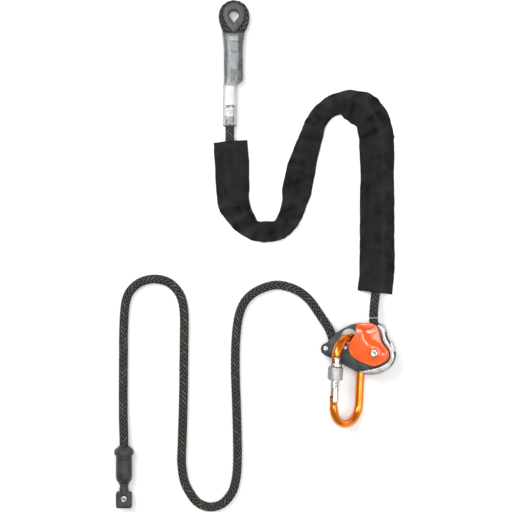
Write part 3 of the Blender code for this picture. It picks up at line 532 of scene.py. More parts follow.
def plate(outline, holes, z0, z1, edge=0.5, segments=2):
    """A flat plate with holes and rounded rims."""
    bm = bmesh.new()
    edges = []
    for line in [outline, *holes]:
        verts = [bm.verts.new((p[0], p[1], z0)) for p in line]
        edges += [bm.edges.new((a, b)) for a, b in zip(verts, verts[1:] + verts[:1])]
    bmesh.ops.triangle_fill(bm, use_beauty=True, use_dissolve=False, edges=edges)
    made = bmesh.ops.extrude_face_region(bm, geom=bm.faces[:])
    top = [v for v in made["geom"] if isinstance(v, bmesh.types.BMVert)]
    bmesh.ops.translate(bm, verts=top, vec=(0, 0, z1 - z0))
    bmesh.ops.recalc_face_normals(bm, faces=bm.faces)
    if edge:
        bm.normal_update()
        rims = [e for e in bm.edges if len(e.link_faces) == 2
                and e.calc_face_angle(0) > math.radians(60)
                and abs(e.verts[0].co.z - e.verts[1].co.z) < 0.01]
        bmesh.ops.bevel(bm, geom=rims, offset=edge, offset_type='OFFSET', segments=segments,
                        profile=0.5, affect='EDGES', clamp_overlap=True, material=-1)
    return bm


def circle(centre, radius, count=36, start=0.0, sweep=2 * math.pi):
    whole = abs(sweep - 2 * math.pi) < 1e-6
    steps = count if whole else count - 1
    return [Vector((centre[0] + radius * math.cos(start + sweep * i / steps),
                    centre[1] + radius * math.sin(start + sweep * i / steps), 0))
            for i in range(count)]


def ring_at(radius, height, count, centre=(0, 0), lobes=0.0):
    """A level ring of points, with six lobes that deep where asked."""
    out = []
    for i in range(count):
        a = 2 * math.pi * i / count
        r = radius + lobes * math.cos(6 * a)
        out.append(Vector((centre[0] + r * math.cos(a), centre[1] + r * math.sin(a), height)))
    return out


def turned(profile, sides=48, along_y=False, at=(0, 0)):
    """A profile of (radius, z) points turned about z, or about y with at as x and z."""
    bm = bmesh.new()
    verts = [bm.verts.new((r, 0, z)) for r, z in profile]
    edges = [bm.edges.new(pair) for pair in zip(verts, verts[1:])]
    if profile[0][0] > 0 or profile[-1][0] > 0:
        edges.append(bm.edges.new((verts[-1], verts[0])))
    bmesh.ops.spin(bm, geom=verts + edges, cent=(0, 0, 0), axis=(0, 0, 1), angle=2 * math.pi,
                   steps=sides, use_merge=True)
    bmesh.ops.remove_doubles(bm, verts=bm.verts, dist=0.0005)
    if along_y:
        turn = Matrix.Translation((at[0], 0, at[1])) @ Matrix.Rotation(math.radians(-90), 4, 'X')
        bmesh.ops.transform(bm, matrix=turn, verts=bm.verts)
    return bm


def rounded(profile, radius, closed=False):
    """A profile with its corners rounded off by radius, three points each."""
    out = []
    count = len(profile)
    for i, p in enumerate(profile):
        if not closed and i in (0, count - 1):
            out.append(p)
            continue
        here = Vector(p)
        before, after = Vector(profile[i - 1]), Vector(profile[(i + 1) % count])
        cut_in = min(radius, (here - before).length * 0.45, (after - here).length * 0.45)
        start = here + (before - here).normalized() * cut_in
        end = here + (after - here).normalized() * cut_in
        middle = (start + end) / 4 + here / 2
        out += [tuple(start), tuple(middle), tuple(end)]
    return out


# ---------------------------------------------------------------- the rope

def braid_height(u, v):
    """How high the braid's upper strand stands, 0 to 1; v in millimetres."""
    rising = u * ROPE_STRANDS + v / ROPE_PITCH
    falling = u * ROPE_STRANDS - v / ROPE_PITCH
    upper = (math.floor(rising) + math.floor(falling)) % 4 < 1.5
    strand = (rising if upper else falling) % 1.0
    return math.sin(math.pi * strand)


def braided(name, points, mat, place=WORLD, stands_for=(), start=0.0):
    """A rope with the relief of its braid. Returns the piece and the line that its rings follow."""
    sides = 50
    step = 0.9
    line = smooth(points, 1.0)
    path = resample(line, max(8, round(run_lengths(line)[-1] / step)))
    lengths = run_lengths(path)
    rings = []
    for centre, (side, up), v in zip(path, axes_along(path), lengths):
        ring = []
        for k in range(sides):
            a = 2 * math.pi * k / sides
            r = ROPE_R + BRAID_LOW + BRAID_RELIEF * braid_height(k / sides, v + start)
            ring.append(centre + side * (r * math.cos(a)) + up * (r * math.sin(a)))
        rings.append(ring)
    bm = skin(rings, [(v + start) * MM for v in lengths])
    piece = put(name, bm, mat, "grab", place, stands_for, 60)
    return piece, path


def in_mm(points):
    """Points in metres as points in millimetres."""
    return [tuple(c / MM for c in p) for p in points]


# ---------------------------------------------------------------- the sleeve

# Creases seen from above: both ends in the part's frame, depth and half width. A negative depth
# is a ridge.
CREASES = [
    ((-160, 204), (-136, 204), 1.6, 3.0), ((-136, 200), (-128, 186), 2.6, 4.0),
    ((-116, 164), (-103, 179), 1.8, 3.0), ((-4, 337), (-11, 312), 1.8, 3.2),
    ((-26, 322), (-44, 306), 1.5, 3.0), ((26, 326), (10, 308), 1.6, 3.0),
    ((32, 306), (6, 292), 1.7, 3.2), ((-54, 323), (-46, 312), 2.0, 3.0),
    ((-84, 262), (-58, 258), 1.2, 4.0), ((-90, 232), (-66, 240), 1.3, 3.6),
    ((-76, 208), (-94, 196), 1.5, 3.2), ((-92, 172), (-88, 190), 1.4, 3.0),
    ((-150, 190), (-132, 200), -1.0, 3.0), ((10, 262), (40, 270), 0.9, 4.0),
    ((8, 160), (16, 250), 0.6, 3.0), ((-64, 292), (-40, 288), 1.0, 3.4),
]


def crease_depth(x, y):
    """How far the creases push the cloth down at a place."""
    depth = 0.0
    for (x0, y0), (x1, y1), deep, half in CREASES:
        dx, dy = x1 - x0, y1 - y0
        t = min(1.0, max(0.0, ((x - x0) * dx + (y - y0) * dy) / (dx * dx + dy * dy)))
        away = math.hypot(x - x0 - t * dx, y - y0 - t * dy)
        fade = 1 - 0.5 * abs(2 * t - 1)
        depth += 1.3 * deep * fade * math.exp(-(away / half) ** 2)
    return depth


BROAD_RIPPLE = 17                  # sizes of the cloth's ripples, and how the pleats repeat
SMALL_RIPPLE = 7
PLEAT_RUN = 2.9
CLOTH_SIDES = 96


def ripples(spot, upper):
    """Broad and small ripples of the cloth at a place, for its upper or its under side."""
    broad = noise.noise(Vector((spot.x / BROAD_RIPPLE, spot.y / BROAD_RIPPLE, 3.0 * upper)))
    small = noise.noise(Vector((spot.x / SMALL_RIPPLE, spot.y / SMALL_RIPPLE, 5.0 + 3.0 * upper)))
    return broad, small


def cloth_top(x, sin_a, narrow, centre, spot, folds):
    """The cloth's upper side: its height at x from the rope's middle, and its painted light, paler
    on raised folds and darker in creases.
    """
    broad, small, pleat = folds
    creased = crease_depth(spot.x, spot.y)
    rise = centre.z - FABRIC_REST_Z
    tent = 1 / (1 + (abs(x) / (8.6 + 2 * narrow)) ** 3.0)
    crown = FABRIC_CROWN_Z + rise - FABRIC_EDGE_Z
    high = FABRIC_EDGE_Z + crown * tent * min(1.0, sin_a * 3.0)
    from_edge = min(1.0, abs(sin_a) * 2.2)
    lift = from_edge * (1.5 * broad + 0.6 * small + 1.3 * pleat)
    lift -= from_edge * creased
    z = high + lift * (0.5 + 0.5 * min(1.0, abs(x) / 9))
    cover = ROPE_R + FABRIC_WALL + 0.15
    arch = centre.z + math.sqrt(cover ** 2 - x * x) if abs(x) < cover else 0.0
    z = min(max(z, 1.2, arch), 15.6 + rise)
    # The second value is painted light: paler where ripples and pleats rise, darker in the creases.
    return z, 0.5 + 0.22 * broad + 0.16 * small + 0.32 * pleat - 0.2 * creased


def cloth_under(sin_a, small):
    """The cloth's under side: its height over the floor, and its painted shade, a little darker
    than the upper side.
    """
    z = 0.15 + 1.3 * (1 - min(1.0, abs(sin_a) * 2.5)) + max(0.0, 0.35 * small)
    return min(z, 1.5), 0.4


def cloth_ring(v, centre, side, reach, bend, turn, folds):
    """One ring of the cloth, v along it; the painted light of its folds is added to folds."""
    right, left = reach
    half = (left + right) / 2
    narrow = min(1.0, max(0.0, 1 - (half - 12.5) / 8.8))
    bunched = min(1.0, bend * 1.6 + 0.5 * narrow)
    ring = []
    for k in range(CLOTH_SIDES):
        a = 2 * math.pi * k / CLOTH_SIDES
        cos_a, sin_a = math.cos(a), math.sin(a)
        share = abs(cos_a) ** 0.8
        x = (right if cos_a > 0 else -left) * share
        spot = centre + side * x
        broad, small = ripples(spot, sin_a > 0)
        inner_side = x * (1 if turn < 0 else -1)
        pleat = (math.sin(v / PLEAT_RUN + 2.6 * broad + 0.09 * x) * bunched
                 * max(0.0, 0.25 - inner_side / half))
        waver = 0.9 * broad * share + 0.6 * pleat * share
        x += math.copysign(waver, x)
        if sin_a >= 0:
            z, painted_light = cloth_top(x, sin_a, narrow, centre, spot, (broad, small, pleat))
        else:
            z, painted_light = cloth_under(sin_a, small)
        folds.append(painted_light)
        ring.append(Vector((centre.x + side.x * x, centre.y + side.y * x, z)))
    return ring


def sleeve_piece(mat):
    """The fabric tube: flat on the floor at both sides, tented over the rope, wrinkled at bends."""
    stations = [Vector(p) / MM for p in LINE[FABRIC_FIRST:FABRIC_LAST + 1]]
    line = smooth(stations, 1.0)
    total = run_lengths(line)[-1]
    path = resample(line, round(total / (1.8)))
    lengths = run_lengths(path)
    at = run_lengths(stations)
    at = [v * total / at[-1] for v in at]
    rings, folds = [], []
    for i, (centre, (side, _), v) in enumerate(zip(path, axes_along(path), lengths)):
        j = max(k for k in range(len(at) - 1) if at[k] <= v + 1e-6)
        t = (v - at[j]) / (at[j + 1] - at[j])
        t = t * t * (3 - 2 * t)
        reach = [wide[j] * (1 - t) + wide[j + 1] * t - 0.2 for wide in (FABRIC_RIGHT, FABRIC_LEFT)]
        before, after = path[max(i - 9, 0)], path[min(i + 9, len(path) - 1)]
        bend = (before - centre).angle(centre - after, 0.0)
        turn = (centre - before).cross(after - centre).z
        rings.append(cloth_ring(v, centre, side, reach, bend, turn, folds))
    # The weave runs in the tube's own cut: u round it, v along it in metres.
    bm = skin(rings, [v * MM for v in lengths], caps=False)
    # Each vertex keeps the folds' painted light and shade for the sleeve's colour.
    fold_shading = bm.verts.layers.float.new("fold_shading")
    for vert, painted_light in zip(bm.verts, folds):
        vert[fold_shading] = painted_light
    bmesh.ops.smooth_vert(bm, verts=[v for v in bm.verts if not v.is_boundary], factor=0.5,
                          use_axis_x=True, use_axis_y=True, use_axis_z=True)
    piece = put("fabric_sleeve_cloth", bm, mat, "grab", WORLD, ("fabric_sleeve",),
                70)
    return walled(piece, FABRIC_WALL), path


STITCH_ROWS = (5.0, 7.5)           # how far the two seams lie from the sleeve's end
STITCH_SPACING = 2.7
STITCH_SIZE = (0.95, 0.3, 0.3)


def hem_stitches(mat, path):
    """Short thread stitches across both ends of the sleeve, on its upper side."""
    bm = bmesh.new()
    axes = axes_along(path)
    for inward in (1, -1):
        for row in STITCH_ROWS:
            lengths = run_lengths(path if inward == 1 else path[::-1])
            i = next(k for k, v in enumerate(lengths) if v >= row)
            i = i if inward == 1 else len(path) - 1 - i
            centre, (side, _) = path[i], axes[i]
            along = side.cross(Vector((0, 0, 1)))
            for k in range(-7, 8):
                x = k * STITCH_SPACING
                tent = 1 / (1 + (abs(x) / 7.5) ** 2.6)
                z = max(1.6 + 10.5 * tent, 13.3 if abs(x) < 4.5 else 0) + 0.45
                spot = centre + side * x
                turn = Matrix((side, along, Vector((0, 0, 1)))).transposed().to_4x4()
                place = Matrix.Translation((spot.x, spot.y, z)) @ turn
                bmesh.ops.create_uvsphere(bm, u_segments=8, v_segments=5, radius=1.0,
                                          matrix=place @ Matrix.Diagonal((*STITCH_SIZE, 1)))
    return put("sleeve_hem_stitches", bm, mat, "grab")


# ---------------------------------------------------------------- eye, cover and labels

def ring_stack(outlines, count=72):
    """A closed ring-shaped solid through outlines of (points, z), the last joined to the first."""
    rings = []
    for outline, z in outlines:
        line = smooth(outline, 1.0, closed=True)
        start = max(range(len(line)), key=lambda i: line[i].y - abs(line[i].x))
        line = line[start:] + line[:start]
        rings.append([Vector((p.x, p.y, z)) for p in resample(line, count, closed=True)])
    return skin(rings, [0.0] * len(rings), caps=False, joined=True)


def grown(outline, by):
    """An outline moved outwards by a distance, for convex shapes round the origin."""
    line = [Vector((*p, 0)) for p in outline]
    count = len(line)
    area = sum(a.x * b.y - a.y * b.x for a, b in zip(line, line[1:] + line[:1]))
    out = []
    for i in range(count):
        along = (line[(i + 1) % count] - line[i - 1]).normalized()
        side = Vector((along.y, -along.x, 0)) * (1 if area > 0 else -1)
        out.append(tuple((line[i] + side * by)[:2]))
    return out


def thimble_piece(mat):
    """Moulded thimble: two rolled flanges, a core between them and a teardrop hole."""
    low, high = -7.5, 7.7
    seat = 5.75
    ring, core, hole = THIMBLE_RING, THIMBLE_CORE, THIMBLE_HOLE
    outlines = [(hole, low + 1.6), (hole, high - 1.6), (grown(hole, 0.25), high - 0.6),
                (grown(hole, 1.0), high), (grown(core, 1.6), high - 0.1),
                (grown(ring, -1.2), high - 0.35), (grown(ring, -0.3), high - 0.6),
                (ring, high - 1.1), (grown(ring, -0.4), high - 1.7),
                (grown(ring, -2.0), seat + 0.15), (grown(core, 0.3), seat), (core, seat - 1.0),
                (core, -seat + 1.0), (grown(core, 0.3), -seat), (grown(ring, -2.0), -seat - 0.15),
                (grown(ring, -0.4), low + 1.5), (ring, low + 0.9), (grown(ring, -0.3), low + 0.4),
                (grown(ring, -1.2), low + 0.15), (grown(core, 1.6), low), (grown(hole, 1.0), low),
                (grown(hole, 0.25), low + 0.6)]
    bm = ring_stack(outlines)
    place = SCALE @ Matrix.Translation(EYE_AT)
    return put("thimble_moulded", bm, mat, "grab", place, ("thimble",), 50)


# the clear cover's y, x, z, half width and half height, from the thimble to its lower end
COVER = [(419.8, -153, 7.8, 14.4, 7.3), (411, -153, 7.8, 13.1, 7.2), (402, -153, 7.8, 12.2, 7.2),
         (380, -153, 7.8, 12.2, 7.2), (362, -153, 7.8, 12.2, 7.2), (356, -156.9, 7.6, 9, 7.2),
         (350, -157.5, 7.5, 8.6, 7.3), (328, -157.5, 7.4, 8.6, 7.3), (305.7, -157.5, 7.3, 8.3, 7.1)]
COVER_RIPPLE = 0.12
COVER_WALL = 0.35
LABEL_WALL = 0.25
STRIP_WALL = 0.2


def oval_ring(centre, half_w, half_h, sides, power):
    """A boxy oval across y at centre."""
    out = []
    for k in range(sides):
        a = 2 * math.pi * k / sides
        c, s = math.cos(a), math.sin(a)
        out.append(Vector((centre.x + math.copysign(half_w * abs(c) ** (2 / power), c), centre.y,
                           centre.z + math.copysign(half_h * abs(s) ** (2 / power), s))))
    return out


def cover_piece(mat):
    """Clear shrunk sleeve over the splice and the labels, pulled in and rippled."""
    stations = resample(smooth([(x, y, z) for y, x, z, _, _ in COVER], 2.0), 60)
    rings, lengths = [], run_lengths(stations)
    total = lengths[-1]
    spans = run_lengths([Vector((x, y, 0)) for y, x, _, _, _ in COVER])
    for p, v in zip(stations, lengths):
        s = v / total * spans[-1]
        j = max(k for k in range(len(spans) - 1) if spans[k] <= s + 1e-6)
        t = (s - spans[j]) / (spans[j + 1] - spans[j])
        w = COVER[j][3] * (1 - t) + COVER[j + 1][3] * t
        h = COVER[j][4] * (1 - t) + COVER[j + 1][4] * t
        ring = []
        for q in oval_ring(p, w, h - 0.15, 48, 3.0):
            ripple = noise.noise(Vector((q.x / 5, q.y / 9, q.z / 5)))
            out = Vector((q.x - p.x, 0, q.z - p.z)).normalized()
            ring.append(q + out * (COVER_RIPPLE * ripple))
        rings.append(ring)
    bm = skin(rings, [v * MM for v in lengths], caps=False)
    piece = put("shrink_cover_film", bm, mat, "grab", WORLD, ("shrink_cover",), 60)
    return walled(piece, COVER_WALL)


# both wrapped labels' ends in y, middle x and z, half width and half height
WHITE_LABEL = (330.7, 354.8, -157.5, 7.42, 7.1, 6.3)
PRINTED_BAND = (316.7, 328.3, -157.5, 7.42, 6.4, 6.3)
GREY_LABEL_X = -159                # left edge and width of the flat label
GREY_LABEL_W = 12


def label_wrap(name, mat, y0, y1, x, z, half_w, half_h, stands_for):
    """A printed film wrapped round the rope between two places along it."""
    steps = 14
    rings = []
    for i in range(steps + 1):
        y = y0 + (y1 - y0) * i / steps
        pinch = 0.12 * math.sin(i * 1.7)
        rings.append(oval_ring(Vector((x, y, z)), half_w + pinch, half_h, 40, 2.2))
    bm = skin(rings, [abs(y1 - y0) * MM * i / steps for i in range(steps + 1)], caps=False)
    piece = put(name, bm, mat, "grab", WORLD, (stands_for,), 60)
    return walled(piece, LABEL_WALL)


def grey_label_piece(mats):
    """The flat label under the clear cover, and its white head strip."""
    steps = 16
    pieces = []
    z = 7.8 + ROPE_R + 0.45
    for name, y0, y1, mat in (("grey_label_strip", 374.2, 409.6, mats["grey_label"]),
                              ("label_head_strip", 409.8, 415.8, mats["white_label"])):
        rings = []
        for i in range(steps + 1):
            y = y0 + (y1 - y0) * i / steps
            sway = 0.1 * math.sin(y / 5)
            row = [Vector((GREY_LABEL_X + GREY_LABEL_W * k / 12, y,
                           z + sway - 0.25 * abs(k - 6) / 6))
                   for k in range(13)]
            rings.append(row)
        bm = skin(rings, [abs(y1 - y0) * MM * i / steps for i in range(steps + 1)], caps=False,
                  around=False)
        stands = ("grey_label",) if name == "grey_label_strip" else ()
        piece = put(name, bm, mat, "grab", WORLD, stands, 60)
        pieces.append(walled(piece, STRIP_WALL))
    return pieces


# ---------------------------------------------------------------- the stopper

# radius and distance down from y 0, from the mouth over the flange and the waist to the end
STOPPER = [(5.75, 88.9), (7.1, 88.9), (8.2, 90.0), (11.4, 92.9), (11.9, 93.9), (11.9, 98.1),
           (11.3, 98.9), (10.2, 98.9), (9.9, 99.6), (9.9, 104), (9.55, 104.6), (9.55, 105.4),
           (9.9, 106), (9.9, 126), (9.6, 128.6), (8.6, 131), (6.4, 133.5), (0, 133.5)]
STOPPER_BORE = [(0, -127), (5.75, -127)]
NECK = [(0, -133.9), (6.1, -133.9), (6.3, -134.8), (5.3, -136.4), (5.2, -138.2), (5.7, -141),
        (5.5, -146.5), (0, -146.5)]
# radius or inset, and height from the tab's middle, from its hole out over the top and back
TAB_HOLE_LEVELS = [(3.0, -3.0), (3.0, 3.0), (3.6, 3.2), (4.2, 3.5)]
TAB_RIM_LEVELS = [(2.6, 3.5), (1.0, 3.3), (0.3, 2.6), (0, 1.6), (0, -1.6), (0.3, -2.6),
                  (1.0, -3.3), (2.6, -3.5)]
TAB_UNDER_LEVELS = [(4.2, -3.5), (3.6, -3.2)]
TAB_SIDES = 64
EYELET = [(2.2, -3.9), (3.4, -3.9), (3.4, -3.45), (2.8, -3.2), (2.8, 3.2), (3.4, 3.45),
          (3.4, 3.9), (2.2, 3.9)]


def tab_ring(inset, height):
    """The tab's outline with round corners, moved in by inset."""
    ring = []
    half_w, half_l = TAB_HALF_W - inset, TAB_HALF_L - inset
    corner = max(0.8, TAB_CORNER - inset)
    for k in range(TAB_SIDES):
        a = 2 * math.pi * k / TAB_SIDES
        c, s = math.cos(a), math.sin(a)
        reach = min(half_w / max(abs(c), 1e-9), half_l / max(abs(s), 1e-9))
        px, py = reach * c, reach * s
        over_x, over_y = abs(px) - (half_w - corner), abs(py) - (half_l - corner)
        if over_x > 0 and over_y > 0:
            away = math.hypot(over_x, over_y)
            if away > corner:
                px = math.copysign(half_w - corner + over_x * corner / away, px)
                py = math.copysign(half_l - corner + over_y * corner / away, py)
        ring.append(Vector((STOPPER_AXIS[0] + px, TAB_AT + py, height)))
    return ring


def stopper_pieces(mats):
    """The moulded stopper on the tail's end, its tab with the neck, and the tab's eyelet."""
    x, z = STOPPER_AXIS
    outer = turned([(r, -y) for r, y in rounded(STOPPER, 0.5)] + STOPPER_BORE, 64, True, (x, z))
    stopper = put("stopper_moulded", outer, mats["rubber"], "grab", WORLD, ("stopper",),
                  50)
    hole = [ring_at(r, z + height, TAB_SIDES, (x, TAB_HOLE_Y)) for r, height in TAB_HOLE_LEVELS]
    rim = [tab_ring(inset, z + height) for inset, height in TAB_RIM_LEVELS]
    under = [ring_at(r, z + height, TAB_SIDES, (x, TAB_HOLE_Y)) for r, height in TAB_UNDER_LEVELS]
    rings = hole + rim + under
    tab = merge(skin(rings, [0.0] * len(rings), caps=False, joined=True),
                turned(NECK, 40, True, (x, z)))
    tab_piece = put("stopper_tab_moulded", tab, mats["tab"], "grab", WORLD, ("stopper_tab",),
                    50)
    place = SCALE @ Matrix.Translation((x, TAB_HOLE_Y, z))
    eyelet = put("tab_eyelet_rolled", turned(rounded(EYELET, 0.2, True), 40), mats["steel"], "grab",
                 place, ("tab_eyelet",), 50)
    return [stopper, tab_piece, eyelet]


# ---------------------------------------------------------------- the grab

def offset(points, distance):
    """An open line moved to its left."""
    out = []
    for i, p in enumerate(points):
        before, after = points[max(i - 1, 0)], points[min(i + 1, len(points) - 1)]
        along = (Vector(after[:2]) - Vector(before[:2])).normalized()
        out.append(Vector((p[0] - along.y * distance, p[1] + along.x * distance, 0)))
    return out


def frame_piece(mat, dark):
    """Cast rear plate with its walls and the bright rim beside the lever, and an outer lip whose
    dark colour is painted shade.
    """
    slot = circle(SLOT_NEAR, SLOT_NEAR_R, 19, math.radians(-120), math.pi)
    slot += circle(SLOT_FAR, SLOT_FAR_R, 19, math.radians(60), math.pi)
    holes = [slot, circle((0, 0), AXLE_HOLE_R, 24), circle(TIP, TIP_HOLE_R, 18),
             circle(POST, POST_HOLE_R, 14)]
    rear = plate(smooth(BODY, 3, True), holes, -PLATE_TOP, -CHANNEL, 0.5)
    edge = smooth(PLATE_EDGE, 4)
    outer = smooth(CAM_SIDE, 4)
    rim = plate(outer + offset(edge, 0.5), [], CHANNEL, PLATE_TOP, 0.7, 3)
    lower = smooth(LOWER_WALL, 5)
    wall = plate(lower + offset(lower, -WALL)[::-1], [], -CHANNEL - 0.3, CHANNEL - 0.3, 0.3)
    foot = [Vector((*p, 0)) for p in LOWER_WALL[:2]]
    post = plate(foot + offset(foot, -WALL)[::-1], [], 0, CHANNEL + 0.4, 0)
    top = plate([Vector((*p, 0)) for p in TOP_WALL], [], -CHANNEL - 0.3, CHANNEL + 0.3, 0.4)
    bulge = circle((0, 0), 20.4, 12, math.radians(4), math.radians(28))
    bulge += circle((0, 0), 23.2, 12, math.radians(32), math.radians(-28))
    side = plate(bulge, [], -CHANNEL - 0.3, CHANNEL + 0.3, 0.5)
    # The lip stands for the rear plate's larger outline; its dark material is painted shade at the
    # rim's outer edge.
    skirt = plate(outer + offset(outer, LIP_OUT)[::-1], [], -PLATE_TOP, -CHANNEL + 1.6, 0.5)
    put("rear_lip_painted_shade", skirt, dark, "grab", GRAB, (), 35)
    return put("frame_cast", merge(rear, rim, wall, post, top, side), mat, "grab", GRAB,
               ("frame",), 35)


def front_plate_piece(mat):
    outline = smooth(EYE_SIDE, 3) + list(reversed(smooth(PLATE_EDGE, 4)))
    holes = [circle(EYE_HOLE, EYE_HOLE_R, 48), circle((0, 0), HUB_HOLE_R, 36),
             circle(TIP, TIP_HOLE_R, 18), circle(POST, POST_HOLE_R, 14)]
    bm = plate(outline, holes, CHANNEL, PLATE_TOP, 0.55, 3)
    return put("front_plate_cover", bm, mat, "grab", GRAB, ("front_plate",), 35)


def polar_outline(points, count):
    """A star-shaped outline round the axle as radii at even angles."""
    line = smooth(points, 0.6, True)
    table = sorted((math.atan2(p.y, p.x) % (2 * math.pi), p.length) for p in line)
    table = [(table[-1][0] - 2 * math.pi, table[-1][1])] + table
    table.append((table[1][0] + 2 * math.pi, table[1][1]))
    out, j = [], 0
    for i in range(count):
        a = 2 * math.pi * i / count
        while table[j + 1][0] < a:
            j += 1
        (a0, r0), (a1, r1) = table[j], table[j + 1]
        out.append(r0 + (r1 - r0) * (a - a0) / (a1 - a0))
    return out


# The lever's sculpted top: a crest line from the thumb lip round to the axle, and what lies on
# its right is lower.
CREST = [(-22, 33), (-15, 29.5), (-9.5, 24), (-9.2, 19), (-5.5, 14.2), (1.5, 11.2), (7.5, 8.2),
         (11.5, 3.5)]
LIP = [(-21.5, 33), (-15.5, 33.2), (-11.5, 31.0), (-6.5, 31.2), (-2.0, 32.6)]


def line_side(x, y, line):
    """The distance to a line, and the side: positive on the right of its run."""
    best, side = 1e9, 1.0
    for (x0, y0), (x1, y1) in zip(line, line[1:]):
        dx, dy = x1 - x0, y1 - y0
        t = min(1.0, max(0.0, ((x - x0) * dx + (y - y0) * dy) / (dx * dx + dy * dy)))
        away = math.hypot(x - x0 - t * dx, y - y0 - t * dy)
        if away < best:
            best = away
            side = 1.0 if dx * (y - y0) - dy * (x - x0) < 0 else -1.0
    return best, side


def lever_height(x, y):
    """How far the lever's top lies below its highest plane."""
    away, side = line_side(x, y, CREST)
    right = side * away
    step = 1 / (1 + math.exp(right / 1.3))
    drop = 1.5 * (1 - step)
    drop += 0.5 * math.exp(-((right - 2.6) / 1.6) ** 2)
    lip_away, lip_side = line_side(x, y, LIP)
    drop += 1.3 * math.exp(-((lip_away - 3.2) / 2.0) ** 2) * (1.0 if lip_side > 0 else 0.0)
    drop -= 0.25 * math.exp(-(lip_away / 1.2) ** 2)
    left = math.hypot(x + 14, y - 8) / 24
    drop += 0.9 * left * left
    collar = math.hypot(x, y)
    if collar < 9:
        drop = drop * (collar / 9) ** 2 + 0.9 * (1 - (collar / 9) ** 2)
    return min(3.2, max(0.0, drop))


LEVER_BORE_R = 3.4
LEVER_EDGE = 2.6                   # radius of the rounding round its top
RECESS_R = 5.5
RECESS_DEPTH = 2.6


def lever_piece(mat):
    """Glossy lever: rounded all round, sculpted on top, with the axle's recess."""
    count = 180
    radii = polar_outline(LEVER, count)
    bottom, top = LEVER_Z
    rings = []

    def ring(shrink, height, sculpt):
        out = []
        for i, r in enumerate(radii):
            a = 2 * math.pi * i / count
            rr = r - shrink
            x, y = rr * math.cos(a), rr * math.sin(a)
            z = height - (lever_height(x, y) * sculpt)
            out.append(Vector((x, y, z)))
        return out

    def share_ring(share):
        out = []
        for i, r in enumerate(radii):
            a = 2 * math.pi * i / count
            rr = RECESS_R + (r - LEVER_EDGE - RECESS_R) * share
            x, y = rr * math.cos(a), rr * math.sin(a)
            out.append(Vector((x, y, top - lever_height(x, y))))
        return out

    rings.append(ring_at(LEVER_BORE_R, bottom, count))
    rings.append(ring(0.7, bottom, 0))
    rings.append(ring(0.15, bottom + 0.35, 0))
    rings.append(ring(0, bottom + 1.0, 0))
    rings.append(ring(0, top - 3.4, 0.45))
    for k in range(1, 6):
        a = math.pi / 2 * k / 5
        rings.append(ring(LEVER_EDGE * (1 - math.cos(a)), top - LEVER_EDGE * (1 - math.sin(a)),
                          0.45 + 0.11 * k))
    for k in range(1, 23):
        rings.append(share_ring(1 - k / 22))
    rim = min(p.z for p in rings[-1])
    rings.append(ring_at(RECESS_R - 0.25, rim - 0.35, count))
    rings.append(ring_at(RECESS_R - 0.35, top - RECESS_DEPTH, count))
    rings.append(ring_at(LEVER_BORE_R, top - RECESS_DEPTH, count))
    bm = skin(rings, [0.0] * len(rings), caps=False, joined=True)
    return put("lever_moulded", bm, mat, "lever", GRAB, ("lever",), 60)


def screw_piece(name, node, mat, centre, count, levels):
    """A screw or axle through levels of (radius, height, depth of its six lobes)."""
    rings = [ring_at(radius, height, count, centre, lobes) for radius, height, lobes in levels]
    bm = skin(rings, [0.0] * len(rings))
    return put(name, bm, mat, "grab", GRAB, (node,), 40)


def axle_piece(mat):
    """Axle screw: domed head with a bright rim and a six-lobe recess."""
    top = LEVER_Z[1]
    levels = [(2.9, -11.1, 0), (3.0, -10.8, 0), (3.0, top - 2.3, 0), (4.4, top - 2.3, 0),
              (4.6, top - 2.1, 0), (4.6, top - 0.7, 0), (4.35, top - 0.3, 0),
              (3.7, top + 0.05, 0), (2.75, top + 0.1, 0), (2.35, top - 0.05, 0.3),
              (2.15, top - 0.3, 0.33), (2.1, top - 1.4, 0.33), (0.6, top - 1.6, 0)]
    return screw_piece("axle_screw", "axle", mat, (0, 0), 48, levels)


def tip_screw_piece(mat):
    """Pan-head screw with a shallow six-lobe recess."""
    top = PLATE_TOP
    levels = [(1.9, -top - 2.0, 0), (2.0, -top - 1.7, 0), (2.0, top + 0.3, 0), (3.2, top + 0.3, 0),
              (3.4, top + 0.5, 0), (3.4, top + 1.2, 0), (3.0, top + 1.8, 0), (2.2, top + 2.1, 0),
              (1.55, top + 2.05, 0.12), (1.45, top + 1.8, 0.14), (1.4, top + 0.9, 0.14),
              (0.4, top + 0.8, 0)]
    return screw_piece("tip_screw_head", "tip_screw", mat, TIP, 36, levels)


# ---------------------------------------------------------------- the connector

HALF_W = 23.5
HALF_L = 52.8
BAR_R = 5.14
BAR_END = 30.0                     # y of the bar's end at the nose
TANG_END = -28.6                   # y of its end at the tang
NOSE_Y = 22.9
NOSE_HALF_T = 2.1
TANG_HALF_T = 2.4
TANG_R = 4.6
PIVOT_Y = -22.5
RIVET_HOLE_R = 1.8
GATE_R = 5.3
THREAD = (-7.8, 1.4)               # y of the thread's ends on the gate
THREAD_PITCH = 1.75
THREAD_HEIGHT = 0.3
KNURL_TEETH = 36
KNURL_HEIGHT = 0.34


